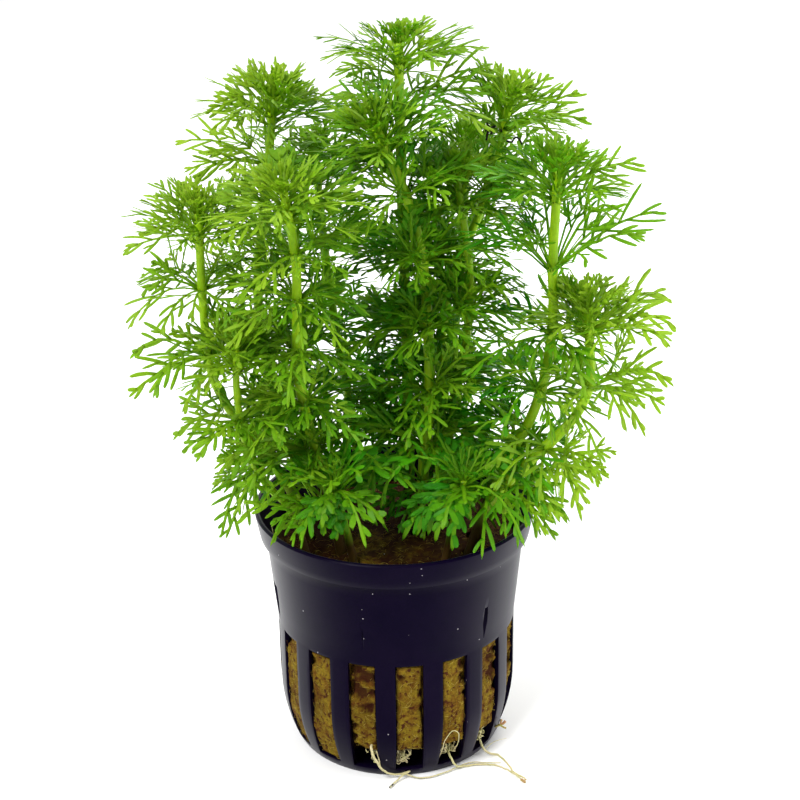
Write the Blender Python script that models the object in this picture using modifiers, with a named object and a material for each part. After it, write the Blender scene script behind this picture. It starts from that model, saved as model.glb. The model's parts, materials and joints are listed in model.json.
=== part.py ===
"""Potted dwarf ambulia: feathery shoots rooted in a plug of mineral wool in a net pot.

Metres, +Z up. The origin is the centre of the pot's underside, and -Y is the front.
"""
import math
import random

import bpy
import bmesh
from mathutils import Matrix, Vector
from mathutils.bvhtree import BVHTree

# Free space between neighbouring pieces
GAP = 0.0003
WELD = 0.00001

# Net pot
POT_HEIGHT = 0.050
RIM_RADIUS = 0.0275
RIM_UNDER_RADIUS = 0.0266
RIM_BAND = 0.0053
LEDGE_DROP = 0.0003
WALL_TOP_RADIUS = 0.0255
WALL_RADIUS = 0.02375
FOOT_RADIUS = 0.0205
FOOT_ROUND = 0.014
FOOT_FULLNESS = 0.8
FOOT_STEPS = (0.0074, 0.0026)
FLARE_START = 0.027
WALL = 0.0011
FLOOR = 0.0012
POT_STEPS = 32

# Slots, stacking notches and drain slots
SLOT_COUNT = 16
SLOT_WIDTH = 0.0054
SLOT_TOP = 0.0264
SLOT_BOTTOM = 0.0018
SLOT_TURN = math.radians(6.0)
NOTCH_COUNT = 6
NOTCH_TURN = math.radians(-15.0)
NOTCH_TOP = 0.0355
NOTCH_BOTTOM = 0.0285
NOTCH_HALF_WIDTH = 0.0006
DRAIN_COUNT = 4
DRAIN_WIDTH = 0.0024
DRAIN_START = 0.007
DRAIN_END = 0.0165

# Mineral wool
WOOL_TOP = 0.0440
WOOL_TOP_RINGS = (0.0, 0.010, 0.0185)
WOOL_SHRINK = 0.0004
WOOL_LUMPS = (
    # x, y, height and spread of each rise or hollow in the top
    (0.000, 0.000, 0.0012, 0.012),
    (-0.007, -0.017, 0.0022, 0.005),
    (-0.015, -0.015, -0.0022, 0.005),
    (0.010, -0.018, 0.0008, 0.005),
    (0.012, 0.014, 0.0014, 0.007),
)
PLUG_HEIGHTS = (FLOOR + GAP, FOOT_ROUND, 0.0285, 0.0380)
PAD_HALF_WIDTH = SLOT_WIDTH / 2 - GAP
PAD_CLEAR = GAP
PAD_SINK = 0.0002
SAME_SIDE = 0.96
FULL_PAD_BOTTOM = SLOT_BOTTOM + PAD_CLEAR
SHORT_PAD_BOTTOM = 0.0066
SHORT_PADS = (0, 1, 2, 15)
HOLLOW_DEPTH = 0.0045
HOLLOW_TURNS = (math.radians(-30), math.radians(63))

# Stems
PLANT_DEPTH = 0.0030
HOLE_LENGTH = 0.008
STEM_SIDES = 6
TIP_SEGMENT = 0.0016
SKIRT_LEAVES = 5
BUD = 0.0022
AROUND_STEM = 0.0022
TUFT_SEED = 100
SKIRT_SEED = 200

# Leaves: shares of the leaf's length, and half sizes of its midrib
PETIOLE_END = 0.30
LOBES_END = 0.62
LOBE_TIP = 0.84
LOBE_SPREAD = 0.32
BLADE_WIDEST = 0.45
RIB_HALF_WIDTH = 0.00045
RIB_HALF_DEPTH = 0.00032
BLADE_HALF_WIDTH = 0.0011
SAG = 0.10
WHORL_LEAVES = 5
COLLAR_HEIGHT = 0.0013
COLLAR_WALL = 0.0006
NEXT_TURN = math.radians(37)
ROW_TURN = math.radians(23)

# Each shoot: name, radius, route from the wool up, and the height, lift in
# degrees and leaf length of each whorl. Whorls above stalked_above have stalked
# leaves. The tuft is the lift and leaf length at the growing tip, and the
# skirts are the height, lift and leaf length of leaves low on the stem.
SHOOTS = (
    dict(
        name="centre", radius=0.00115, stalked_above=0.200,
        route=((0.0045, -0.0030), (0.0058, -0.0036, 0.0590), (0.0070, -0.0040, 0.0730),
               (0.0068, -0.0030, 0.0870), (0.0058, -0.0030, 0.1010), (0.0030, -0.0040, 0.1130),
               (-0.0024, -0.0056, 0.1265)),
        tuft=(48, 0.007), skirts=((0.0640, -2, 0.016), (0.0540, -8, 0.016)),
        whorls=((0.1225, 20, 0.014), (0.1130, 12, 0.017), (0.1005, 8, 0.018),
                (0.0870, 4, 0.017), (0.0750, 0, 0.017)),
    ),
    dict(
        name="front_left", radius=0.00105, stalked_above=0.110,
        route=((-0.0100, -0.0090), (-0.0128, -0.0102, 0.0590), (-0.0153, -0.0112, 0.0690),
               (-0.0172, -0.0122, 0.0810), (-0.0171, -0.0135, 0.0920), (-0.0167, -0.0160, 0.1050),
               (-0.0182, -0.0192, 0.1185)),
        tuft=(46, 0.007), skirts=((0.0655, -6, 0.015), (0.0545, -10, 0.014)),
        whorls=((0.1145, 18, 0.014), (0.1065, 8, 0.016), (0.0970, 2, 0.016),
                (0.0865, -2, 0.016), (0.0760, -8, 0.016)),
    ),
    dict(
        name="far_left", radius=0.00100, stalked_above=0.090,
        route=((-0.0165, -0.0030), (-0.0203, -0.0042, 0.0550), (-0.0263, -0.0055, 0.0650),
               (-0.0311, -0.0060, 0.0730), (-0.0340, -0.0060, 0.0810), (-0.0347, -0.0060, 0.0940),
               (-0.0346, -0.0060, 0.1110)),
        tuft=(46, 0.007), skirts=((0.0610, -22, 0.015),),
        whorls=((0.1070, 8, 0.014), (0.0965, -4, 0.015), (0.0835, -8, 0.016)),
    ),
    dict(
        name="right", radius=0.00110, stalked_above=0.095,
        route=((0.0150, -0.0030), (0.0205, -0.0055, 0.0590), (0.0258, -0.0075, 0.0700),
               (0.0286, -0.0080, 0.0800), (0.0297, -0.0080, 0.0910), (0.0295, -0.0080, 0.1020),
               (0.0301, -0.0080, 0.1185)),
        tuft=(50, 0.007), skirts=((0.0645, -8, 0.016), (0.0545, -14, 0.014)),
        whorls=((0.1140, 20, 0.018), (0.1000, 30, 0.020), (0.0875, 0, 0.018),
                (0.0760, -8, 0.017)),
    ),
    dict(
        name="low_right", radius=0.00110, stalked_above=0.070,
        route=((0.0135, -0.0110), (0.0182, -0.0108, 0.0545), (0.0250, -0.0102, 0.0620),
               (0.0305, -0.0100, 0.0675), (0.0348, -0.0100, 0.0730), (0.0367, -0.0100, 0.0800),
               (0.0358, -0.0100, 0.0935)),
        tuft=(40, 0.009), skirts=((0.0580, -20, 0.014),),
        whorls=((0.0885, 12, 0.015), (0.0775, 0, 0.017), (0.0655, -28, 0.018)),
    ),
    dict(
        name="back_centre", radius=0.00115, stalked_above=0.120,
        route=((0.0030, 0.0060), (0.0030, 0.0062, 0.0590), (0.0029, 0.0068, 0.0760),
               (0.0026, 0.0075, 0.0950), (0.0022, 0.0080, 0.1120), (0.0020, 0.0080, 0.1385)),
        tuft=(50, 0.007), skirts=((0.0820, 4, 0.016), (0.0660, 0, 0.016)),
        whorls=((0.1345, 14, 0.016), (0.1265, 2, 0.018), (0.1140, 10, 0.018),
                (0.0970, 8, 0.017)),
    ),
    dict(
        name="back_left", radius=0.00105, stalked_above=0.110,
        route=((-0.0120, 0.0075), (-0.0175, 0.0078, 0.0590), (-0.0230, 0.0085, 0.0710),
               (-0.0256, 0.0100, 0.0820), (-0.0256, 0.0118, 0.0960), (-0.0238, 0.0118, 0.1070),
               (-0.0213, 0.0103, 0.1285)),
        tuft=(48, 0.007), skirts=((0.0645, 0, 0.015),),
        whorls=((0.1245, 16, 0.016), (0.1155, 8, 0.018), (0.1035, 4, 0.018),
                (0.0905, 4, 0.017), (0.0780, -4, 0.016)),
    ),
    dict(
        name="back_right", radius=0.00100, stalked_above=0.200,
        route=((0.0095, 0.0080), (0.0098, 0.0082, 0.0640), (0.0098, 0.0086, 0.0820),
               (0.0124, 0.0095, 0.0950), (0.0165, 0.0106, 0.1040), (0.0202, 0.0118, 0.1150),
               (0.0226, 0.0120, 0.1265)),
        tuft=(46, 0.007), skirts=((0.0740, 2, 0.015),),
        whorls=((0.1210, 12, 0.016), (0.1095, 6, 0.016), (0.0925, 4, 0.016)),
    ),
    dict(
        name="inner_right", radius=0.00090, stalked_above=0.120,
        route=((0.0095, 0.0010), (0.0112, 0.0006, 0.0660), (0.0140, 0.0005, 0.0820),
               (0.0148, 0.0008, 0.0960), (0.0124, 0.0018, 0.1150)),
        tuft=(42, 0.009), skirts=((0.0890, 4, 0.015),),
        whorls=((0.1085, 12, 0.014),),
    ),
    dict(
        name="short_left", radius=0.00080, stalked_above=0.100,
        route=((-0.0160, -0.0105), (-0.0196, -0.0122, 0.0540), (-0.0240, -0.0136, 0.0605),
               (-0.0272, -0.0145, 0.0690), (-0.0284, -0.0150, 0.0790), (-0.0280, -0.0150, 0.0895)),
        tuft=(40, 0.007), skirts=((0.0640, -30, 0.013),),
        whorls=((0.0850, 10, 0.011), (0.0740, -4, 0.014)),
    ),
    dict(
        name="rear_left", radius=0.00100, stalked_above=0.120,
        route=((-0.0060, 0.0135), (-0.0085, 0.0165, 0.0620), (-0.0115, 0.0205, 0.0800),
               (-0.0135, 0.0230, 0.0980), (-0.0145, 0.0240, 0.1140)),
        tuft=(46, 0.008), skirts=((0.0680, -6, 0.016), (0.0565, -14, 0.015)),
        whorls=((0.1090, 18, 0.014), (0.0950, 8, 0.017), (0.0800, 0, 0.017)),
    ),
    dict(
        name="rear_right", radius=0.00100, stalked_above=0.120,
        route=((0.0070, 0.0145), (0.0098, 0.0180, 0.0620), (0.0128, 0.0218, 0.0800),
               (0.0145, 0.0240, 0.0990), (0.0150, 0.0248, 0.1150)),
        tuft=(46, 0.008), skirts=((0.0680, -6, 0.016), (0.0565, -14, 0.015)),
        whorls=((0.1100, 18, 0.014), (0.0960, 8, 0.017), (0.0805, 0, 0.017)),
    ),
    dict(
        name="foot_left", radius=0.00085, stalked_above=0.0,
        route=((-0.0075, -0.0150), (-0.0092, -0.0170, 0.0530), (-0.0112, -0.0192, 0.0625)),
        tuft=(-4, 0.015), skirts=(),
        whorls=(),
    ),
    dict(
        name="foot_right", radius=0.00085, stalked_above=0.0,
        route=((0.0090, -0.0150), (0.0110, -0.0170, 0.0530), (0.0130, -0.0190, 0.0630)),
        tuft=(-4, 0.015), skirts=(),
        whorls=(),
    ),
)

# Roots: each route starts in the hollow behind a slot and ends on the surface
ROOT_RADIUS = 0.00038
ROOT_TAPER = (0.8, 0.5)
ROOTS = (
    dict(name="root_front", route=(
        (-0.0052, -0.0185, 0.0045), (-0.0058, -0.0205, 0.0042), (-0.0060, -0.0226, 0.0030),
        (-0.0052, -0.0238, 0.0010), (-0.0035, -0.0240, 0.0005), (-0.0012, -0.0236, 0.0014),
        (0.0012, -0.0236, 0.0016), (0.0014, -0.0252, 0.0006), (-0.0012, -0.0262, 0.0005))),
    dict(name="root_right", route=(
        (0.0085, -0.0168, 0.0045), (0.0100, -0.0192, 0.0038), (0.0112, -0.0214, 0.0022),
        (0.0128, -0.0222, 0.0006), (0.0150, -0.0208, 0.0005), (0.0180, -0.0190, 0.0006),
        (0.0206, -0.0192, 0.0010), (0.0222, -0.0206, 0.0006), (0.0240, -0.0232, 0.0005))),
    dict(name="root_side", route=(
        (0.0150, -0.0120, 0.0045), (0.0170, -0.0136, 0.0036), (0.0188, -0.0148, 0.0018),
        (0.0204, -0.0150, 0.0006), (0.0224, -0.0158, 0.0005), (0.0242, -0.0180, 0.0006),
        (0.0252, -0.0212, 0.0005))),
)

# Free choices of a leaf that grows past its neighbours: turn, lift and length
TURNS = (0, 6, -6, 12, -12)
LIFTS = (0, 9, -9, 18, -18, 27, -27)
LENGTHS = (1.0, 0.88, 0.76, 0.62)
TIP_JITTER = 5.0
MOST_ROLL = 32.0
TEST_SIZE = 1.2


def finish(name, colour, roughness):
    """A Principled material with the piece's colour and roughness."""
    material = bpy.data.materials.new(name)
    material.use_nodes = True
    shader = material.node_tree.nodes["Principled BSDF"]
    shader.inputs["Base Color"].default_value = (*colour, 1.0)
    shader.inputs["Roughness"].default_value = roughness
    shader.inputs["Metallic"].default_value = 0.0
    return material


def clear_scene():
    for thing in list(bpy.data.objects):
        bpy.data.objects.remove(thing, do_unlink=True)


def collection(name):
    group = bpy.data.collections.new(name)
    bpy.context.scene.collection.children.link(group)
    return group


def add_mesh(bm, name, group, material=None, origin=Vector()):
    """A new object from a bmesh, with its origin at a point of its own."""
    mesh = bpy.data.meshes.new(name)
    bmesh.ops.translate(bm, verts=bm.verts[:], vec=-origin)
    bm.to_mesh(mesh)
    bm.free()
    thing = bpy.data.objects.new(name, mesh)
    thing.location = origin
    group.objects.link(thing)
    if material:
        mesh.materials.append(material)
    return thing


def smooth(thing, degrees=40):
    thing.data.shade_smooth()
    thing.data.set_sharp_from_angle(angle=math.radians(degrees))


def wall_radius(height):
    """Outer radius of the pot's wall: a rounded foot, a straight middle and a flare."""
    if height < FOOT_ROUND:
        rise = math.sin(math.pi / 2 * height / FOOT_ROUND) ** FOOT_FULLNESS
        return FOOT_RADIUS + (WALL_RADIUS - FOOT_RADIUS) * rise
    if height < FLARE_START:
        return WALL_RADIUS
    flare = (height - FLARE_START) / (POT_HEIGHT - RIM_BAND - FLARE_START)
    return WALL_RADIUS + (WALL_TOP_RADIUS - WALL_RADIUS) * flare


def inner_radius(height):
    """Inner radius of the pot's wall: straight from the floor to where the foot ends."""
    if height >= FOOT_ROUND:
        return wall_radius(height) - WALL
    share = (height - FLOOR) / (FOOT_ROUND - FLOOR)
    floor_radius = wall_radius(FLOOR) - WALL
    return floor_radius + (WALL_RADIUS - WALL - floor_radius) * share


def turned(name, profile, steps, group):
    """A solid of revolution about Z, from a profile that starts and ends on the axis."""
    bm = bmesh.new()
    verts = [bm.verts.new((radius, 0, height)) for radius, height in profile]
    for a, b in zip(verts, verts[1:]):
        bm.edges.new((a, b))
    thing = add_mesh(bm, name, group)
    screw = thing.modifiers.new("Screw", "SCREW")
    screw.angle = 2 * math.pi
    screw.steps = steps
    screw.render_steps = steps
    screw.use_merge_vertices = True
    screw.merge_threshold = WELD
    return thing


def cut(thing, cutter):
    boolean = thing.modifiers.new("Cut " + cutter.name, "BOOLEAN")
    boolean.object = cutter
    boolean.solver = "EXACT"
    cutter.hide_render = True
    cutter.display_type = "WIRE"


def settled(thing):
    """The object's mesh with its modifiers worked out, as a bmesh."""
    graph = bpy.context.evaluated_depsgraph_get()
    bm = bmesh.new()
    bm.from_mesh(thing.evaluated_get(graph).to_mesh())
    thing.evaluated_get(graph).to_mesh_clear()
    return bm


def boxes_around(name, count, turn, low, high, width, group):
    """Upright blocks set around the pot's axis, as one cutter."""
    bm = bmesh.new()
    for index in range(count):
        angle = turn + 2 * math.pi * index / count
        size = Vector((width, high[0] - low[0], high[1] - low[1]))
        centre = Vector((0, -(low[0] + high[0]) / 2, (low[1] + high[1]) / 2))
        place = Matrix.Rotation(angle, 4, "Z") @ Matrix.Translation(centre)
        bmesh.ops.create_cube(bm, size=1.0, matrix=place @ Matrix.Diagonal((*size, 1.0)))
    return add_mesh(bm, name, group)


def make_pot(group, cutters, material):
    ledge = POT_HEIGHT - RIM_BAND
    step_in = RIM_UNDER_RADIUS - WALL_TOP_RADIUS
    profile = [(0, FLOOR)]
    profile += [(inner_radius(h), h) for h in (FLOOR, FOOT_ROUND, FLARE_START)]
    profile += [
        (WALL_TOP_RADIUS - WALL, ledge - WALL),
        (WALL_TOP_RADIUS - WALL + step_in, ledge),
        (RIM_RADIUS - WALL, POT_HEIGHT),
        (RIM_RADIUS - WALL / 3, POT_HEIGHT),
        (RIM_RADIUS, POT_HEIGHT - LEDGE_DROP),
        (RIM_UNDER_RADIUS, ledge),
        (WALL_TOP_RADIUS, ledge - LEDGE_DROP),
    ]
    profile += [(wall_radius(h), h) for h in (FLARE_START, FOOT_ROUND, *FOOT_STEPS)]
    profile += [(FOOT_RADIUS, 0), (0, 0)]
    pot = turned("net_pot", profile, POT_STEPS, group)

    slots = boxes_around("slot_cutters", SLOT_COUNT, SLOT_TURN,
                         (DRAIN_END, SLOT_BOTTOM), (RIM_RADIUS, SLOT_TOP), SLOT_WIDTH, cutters)
    drains = boxes_around("drain_cutters", DRAIN_COUNT, 0.0,
                          (DRAIN_START, -FLOOR), (DRAIN_END, 2 * FLOOR), DRAIN_WIDTH, cutters)
    bm = bmesh.new()
    for index in range(NOTCH_COUNT):
        angle = NOTCH_TURN + 2 * math.pi * index / NOTCH_COUNT
        middle = (NOTCH_TOP + NOTCH_BOTTOM) / 2
        place = Matrix.Rotation(angle, 4, "Z") @ Matrix.Translation((0, -wall_radius(middle), middle))
        bmesh.ops.create_cone(bm, cap_ends=True, segments=4, radius1=NOTCH_HALF_WIDTH / 2,
                              radius2=NOTCH_HALF_WIDTH, depth=NOTCH_TOP - NOTCH_BOTTOM, matrix=place)
    notches = add_mesh(bm, "notch_cutters", cutters)
    for cutter in (slots, drains, notches):
        cut(pot, cutter)
    pot.data.materials.append(material)
    smooth(pot, 35)
    return pot


def wool_height(x, y):
    """Height of the wool's lumpy top."""
    height = WOOL_TOP
    for lump_x, lump_y, rise, spread in WOOL_LUMPS:
        away = (x - lump_x) ** 2 + (y - lump_y) ** 2
        height += rise * math.exp(-away / spread ** 2)
    return height


def plug_depth(height):
    """Distance from the axis to the plug's flat sides at a height."""
    for low, high in zip(PLUG_HEIGHTS, PLUG_HEIGHTS[1:]):
        if height <= high:
            share = (height - low) / (high - low)
            radius = inner_radius(low) * (1 - share) + inner_radius(high) * share
            return (radius - WOOL_SHRINK) * math.cos(math.pi / SLOT_COUNT)


def push_out_pad(bm, index):
    """Wool pushed out through one slot: two stacked side faces, inset and drawn outwards."""
    angle = SLOT_TURN + 2 * math.pi * index / SLOT_COUNT
    outward = Matrix.Rotation(angle, 3, "Z") @ Vector((0, -1, 0))
    across = Vector((0, 0, 1)).cross(outward)
    column = []
    for face in bm.faces:
        centre = face.calc_center_median()
        facing = face.normal.dot(outward) > SAME_SIDE and centre.dot(outward) > FOOT_RADIUS / 2
        if facing and centre.z < SLOT_TOP:
            column.append(face)
    bottom = SHORT_PAD_BOTTOM if index in SHORT_PADS else FULL_PAD_BOTTOM
    levels = (bottom, PLUG_HEIGHTS[1], SLOT_TOP - PAD_CLEAR)
    bmesh.ops.inset_region(bm, faces=column, thickness=PAD_CLEAR)
    inner = sorted({vert for face in column for vert in face.verts}, key=lambda vert: vert.co.z)
    for rank, vert in enumerate(inner):
        height = levels[rank // 2]
        side = math.copysign(PAD_HALF_WIDTH, vert.co.dot(across))
        vert.co = outward * plug_depth(height) + across * side + Vector((0, 0, height))
    drawn = bmesh.ops.extrude_face_region(bm, geom=column)["geom"]
    for vert in (item for item in drawn if isinstance(item, bmesh.types.BMVert)):
        side = vert.co.dot(across)
        depth = math.sqrt((wall_radius(vert.co.z) - PAD_SINK) ** 2 - side ** 2)
        vert.co = outward * depth + across * side + Vector((0, 0, vert.co.z))
    bmesh.ops.delete(bm, geom=column, context="FACES_ONLY")
    bm.normal_update()


def make_wool(group, cutters, material):
    """A sixteen-sided plug of wool with a lumpy top and a pad in each slot."""
    profile = [(radius, WOOL_TOP) for radius in WOOL_TOP_RINGS]
    profile += [(inner_radius(h) - WOOL_SHRINK, h) for h in (WOOL_TOP, *reversed(PLUG_HEIGHTS))]
    profile += [(0, FLOOR + GAP)]
    plug = turned("wool_profile", profile, SLOT_COUNT, cutters)
    bm = settled(plug)
    bpy.data.objects.remove(plug)
    first_corner = SLOT_TURN + math.pi / SLOT_COUNT - math.pi / 2
    bmesh.ops.rotate(bm, verts=bm.verts[:], cent=Vector(),
                     matrix=Matrix.Rotation(first_corner, 3, "Z"))
    bm.normal_update()
    for vert in bm.verts:
        if vert.co.z > WOOL_TOP - WELD and vert.co.xy.length < WOOL_TOP_RINGS[-1] + WELD:
            vert.co.z = wool_height(vert.co.x, vert.co.y)
    for index in range(SLOT_COUNT):
        push_out_pad(bm, index)
    hollow_out_foot(bm)
    wool = add_mesh(bm, "rock_wool", group, material)
    cut(wool, planting_holes(cutters))
    return wool


def hollow_out_foot(bm):
    """Draw the plug's foot in where the wool has washed out behind the front slots."""
    start, end = HOLLOW_TURNS
    for vert in bm.verts:
        turn = math.atan2(vert.co.x, -vert.co.y)
        reach = vert.co.xy.length
        at_foot = vert.co.z < FLOOR + 2 * GAP and reach > DRAIN_START
        if at_foot and start < turn < end:
            vert.co.x *= 1.0 - HOLLOW_DEPTH / reach
            vert.co.y *= 1.0 - HOLLOW_DEPTH / reach


def planting_holes(cutters):
    """One hole in the wool for each stem's foot, wide enough to clear the stem."""
    bm = bmesh.new()
    for shoot in SHOOTS:
        foot, neck = shoot_route(shoot)[:2]
        radius = (shoot["radius"] + GAP) / math.cos(math.pi / STEM_SIDES)
        along = (neck - foot).normalized()
        turn = along.to_track_quat("Z", "Y").to_matrix().to_4x4()
        place = Matrix.Translation(foot + along * (HOLE_LENGTH / 2 - GAP)) @ turn
        bmesh.ops.create_cone(bm, cap_ends=True, segments=STEM_SIDES, radius1=radius,
                              radius2=radius, depth=HOLE_LENGTH, matrix=place)
    return add_mesh(bm, "planting_hole_cutters", cutters)


def shoot_route(shoot):
    """The route's points, with the foot set into the wool."""
    foot_x, foot_y = shoot["route"][0]
    foot = Vector((foot_x, foot_y, wool_height(foot_x, foot_y) - PLANT_DEPTH))
    return [foot] + [Vector(point) for point in shoot["route"][1:]]


def at_height(route, height):
    """The point and direction of a route where it passes a height."""
    for low, high in zip(route, route[1:]):
        if low.z <= height <= high.z:
            share = (height - low.z) / (high.z - low.z)
            return low.lerp(high, share), (high - low).normalized()
    return route[-1].copy(), (route[-1] - route[-2]).normalized()


def taper(shoot, height):
    """A stem's radius at a height: full in the wool and three quarters at the tip."""
    tip = shoot["route"][-1][2]
    share = (height - WOOL_TOP) / (tip - WOOL_TOP)
    return shoot["radius"] * (1.0 - 0.25 * min(max(share, 0.0), 1.0))


def tube(name, route, radii, resolution, cutters):
    """A capped tube along a route, as a welded bmesh."""
    curve = bpy.data.curves.new(name, "CURVE")
    curve.dimensions = "3D"
    curve.bevel_depth = 1.0
    curve.bevel_resolution = resolution
    curve.use_fill_caps = True
    spline = curve.splines.new("POLY")
    spline.points.add(len(route) - 1)
    for point, place, radius in zip(spline.points, route, radii):
        point.co = (*place, 1.0)
        point.radius = radius
    thing = bpy.data.objects.new(name, curve)
    cutters.objects.link(thing)
    bm = settled(thing)
    bpy.data.objects.remove(thing)
    bmesh.ops.remove_doubles(bm, verts=bm.verts[:], dist=WELD)
    bm.normal_update()
    return bm


class Leaf:
    """Where one leaf grows: its base, direction, upper side and length."""

    def __init__(self, base, outward, axis, turn, lift, roll, length):
        sideways = axis.cross(outward).normalized()
        flat = outward * math.cos(turn) + sideways * math.sin(turn)
        self.base = base
        self.direction = (flat * math.cos(lift) + axis * math.sin(lift)).normalized()
        self.level = axis.cross(self.direction).normalized()
        self.above = self.direction.cross(self.level).normalized()
        self.side = self.level * math.cos(roll) + self.above * math.sin(roll)
        self.normal = self.direction.cross(self.side).normalized()
        self.length = length

    def at(self, share):
        """A point on the midrib, which sags towards its tip."""
        fall = Vector((0, 0, -SAG * share * share))
        return self.base + self.length * (self.direction * share + fall)


def draw_out(bm, face, leaf, share, half_width, half_depth):
    """Extrude a leaf's end face to a section further along its midrib.

    The root face lies level and every later section is rolled with the leaf,
    so a corner's place is told by the axes that it fits best.
    """
    middle = face.calc_center_median()
    corners = [vert.co - middle for vert in face.verts]
    rolled = min(abs(corner.dot(leaf.normal)) for corner in corners)
    level = min(abs(corner.dot(leaf.above)) for corner in corners)
    side, normal = (leaf.side, leaf.normal) if rolled > level else (leaf.level, leaf.above)
    drawn = bmesh.ops.extrude_discrete_faces(bm, faces=[face])["faces"][0]
    for vert in drawn.verts:
        offset = vert.co - middle
        across = math.copysign(half_width, offset.dot(side))
        above = math.copysign(half_depth, offset.dot(normal))
        vert.co = leaf.at(share) + leaf.side * across + leaf.normal * above
    return drawn


def point_out(bm, face, place):
    """Draw a face out into a pointed lobe."""
    bm.normal_update()
    tip = bmesh.ops.poke(bm, faces=[face])["verts"][0]
    tip.co = place


def grow_leaf(bm, root, leaf, form, spare=0.0):
    """One leaf drawn out of a face: a plain blade, or a pair of lobes and a pointed end.

    A stalked leaf has its lobes on the outer part of its midrib, past a bare stalk.
    """
    half_depth = RIB_HALF_DEPTH + spare
    reach = leaf.length + spare
    tip = leaf.at(1.0) + leaf.direction * spare
    if form == "blade":
        middle = draw_out(bm, root, leaf, BLADE_WIDEST, BLADE_HALF_WIDTH + spare, half_depth)
        point_out(bm, middle, tip)
        return
    half_width = RIB_HALF_WIDTH + spare
    if form == "stalked":
        root = draw_out(bm, root, leaf, PETIOLE_END, half_width, half_depth)
    block = draw_out(bm, root, leaf, LOBES_END, half_width, half_depth)
    middle = block.calc_center_median()
    bm.normal_update()
    sides = []
    for edge in block.edges:
        run = edge.verts[0].co - edge.verts[1].co
        if abs(run.dot(leaf.normal)) > abs(run.dot(leaf.side)):
            sides += [face for face in edge.link_faces if face != block]
    for face in sides:
        across = (face.calc_center_median() - middle).dot(leaf.side)
        spread = math.copysign(LOBE_SPREAD * reach, across)
        point_out(bm, face, leaf.at(LOBE_TIP) + leaf.side * spread + leaf.direction * spare)
    point_out(bm, block, tip)


def test_body(root, leaf, form):
    """A slightly fat copy of a leaf, to find what it would touch."""
    bm = bmesh.new()
    middle = root.calc_center_median()
    corners = [bm.verts.new(middle + (vert.co - middle) * TEST_SIZE) for vert in root.verts]
    face = bm.faces.new(corners)
    grow_leaf(bm, face, leaf, form, spare=GAP * TEST_SIZE)
    tree = BVHTree.FromBMesh(bm)
    bm.free()
    return tree


def ways_to_grow():
    """Every turn, lift and length a leaf may take, the least change first."""
    ways = []
    for turn in TURNS:
        for lift in LIFTS:
            for length in LENGTHS:
                change = abs(turn) / 10 + abs(lift) / 14 + (1 - length) * 6  # weights by eye
                ways.append((change, turn, lift, length))
    return sorted(ways)


class Canopy:
    """All that has grown so far, so that each new leaf finds free space."""

    def __init__(self):
        self.taken = []

    def add(self, tree, owner=None):
        self.taken.append((tree, owner))

    def is_free(self, body, owner):
        return not any(tree.overlap(body) for tree, other in self.taken if other != owner)


def leaf_ring(bm, roots, centre, axis, lift, length, canopy, owner, seed, form):
    """Grow a leaf out of each root face, or leave the face bare where no space is left."""
    rng = random.Random(seed)
    for root in roots:
        base = root.calc_center_median()
        outward = base - centre
        outward = (outward - axis * outward.dot(axis)).normalized()
        own_turn = rng.uniform(-TIP_JITTER, TIP_JITTER)
        own_lift = lift + rng.uniform(-TIP_JITTER, TIP_JITTER)
        own_roll = math.radians(rng.uniform(-MOST_ROLL, MOST_ROLL))
        own_length = length * rng.uniform(0.92, 1.04)
        for change, turn, extra, share in ways_to_grow():
            leaf = Leaf(base, outward, axis, math.radians(own_turn + turn),
                        math.radians(own_lift + extra), own_roll, own_length * share)
            body = test_body(root, leaf, form)
            if canopy.is_free(body, owner):
                grow_leaf(bm, root, leaf, form)
                canopy.add(body, owner)
                break


def ring_faces(bm, centre, axis, reach):
    """The side faces of a tube's short segment around a point."""
    bm.normal_update()
    faces = []
    for face in bm.faces:
        away = face.calc_center_median() - centre
        level = abs(away.dot(axis)) < TIP_SEGMENT / 5
        if level and away.length < reach and len(face.verts) == 4:
            faces.append(face)
    return faces


def stem_body(shoot, cutters):
    """A stem's tube, with short segments where its tuft and skirt grow."""
    route = shoot_route(shoot)
    tip, along = route[-1], (route[-1] - route[-2]).normalized()
    route.insert(-1, tip - along * TIP_SEGMENT)
    for height, lift, length in shoot["skirts"]:
        middle, up = at_height(route, height)
        pair = [middle - up * TIP_SEGMENT / 2, middle + up * TIP_SEGMENT / 2]
        place = next(index for index, point in enumerate(route) if point.z > height)
        route[place:place] = pair
    radii = [taper(shoot, point.z) for point in route]
    bm = tube("stem_route", route, radii, 1, cutters)
    cap = min(bm.faces, key=lambda face: (face.calc_center_median() - tip).length)
    point_out(bm, cap, tip + along * BUD)
    return bm, route


def collar(centre, axis, radius, twist):
    """The ring of tissue that a whorl's leaves grow from, free of the stem inside it.

    Its outer faces are the leaves' roots, and it narrows inwards to one edge all round.
    """
    inner = (radius + GAP) / math.cos(math.pi / WHORL_LEAVES)
    outer = inner + COLLAR_WALL
    turn = axis.to_track_quat("Z", "Y").to_matrix().to_4x4()
    place = Matrix.Translation(centre) @ turn @ Matrix.Rotation(twist, 4, "Z")
    bm = bmesh.new()
    bmesh.ops.create_cone(bm, cap_ends=False, segments=WHORL_LEAVES, radius1=outer,
                          radius2=outer, depth=COLLAR_HEIGHT, matrix=place)
    bm.normal_update()
    roots = bm.faces[:]
    open_edges = [edge for edge in bm.edges if edge.is_boundary]
    bmesh.ops.extrude_edge_only(bm, edges=open_edges)
    for vert in bm.verts:
        if any(edge.is_boundary for edge in vert.link_edges):
            away = vert.co - centre
            flat = away - axis * away.dot(axis)
            vert.co = centre + flat * (inner / outer)
    bmesh.ops.remove_doubles(bm, verts=bm.verts[:], dist=WELD)
    bm.normal_update()
    return bm, roots


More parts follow.
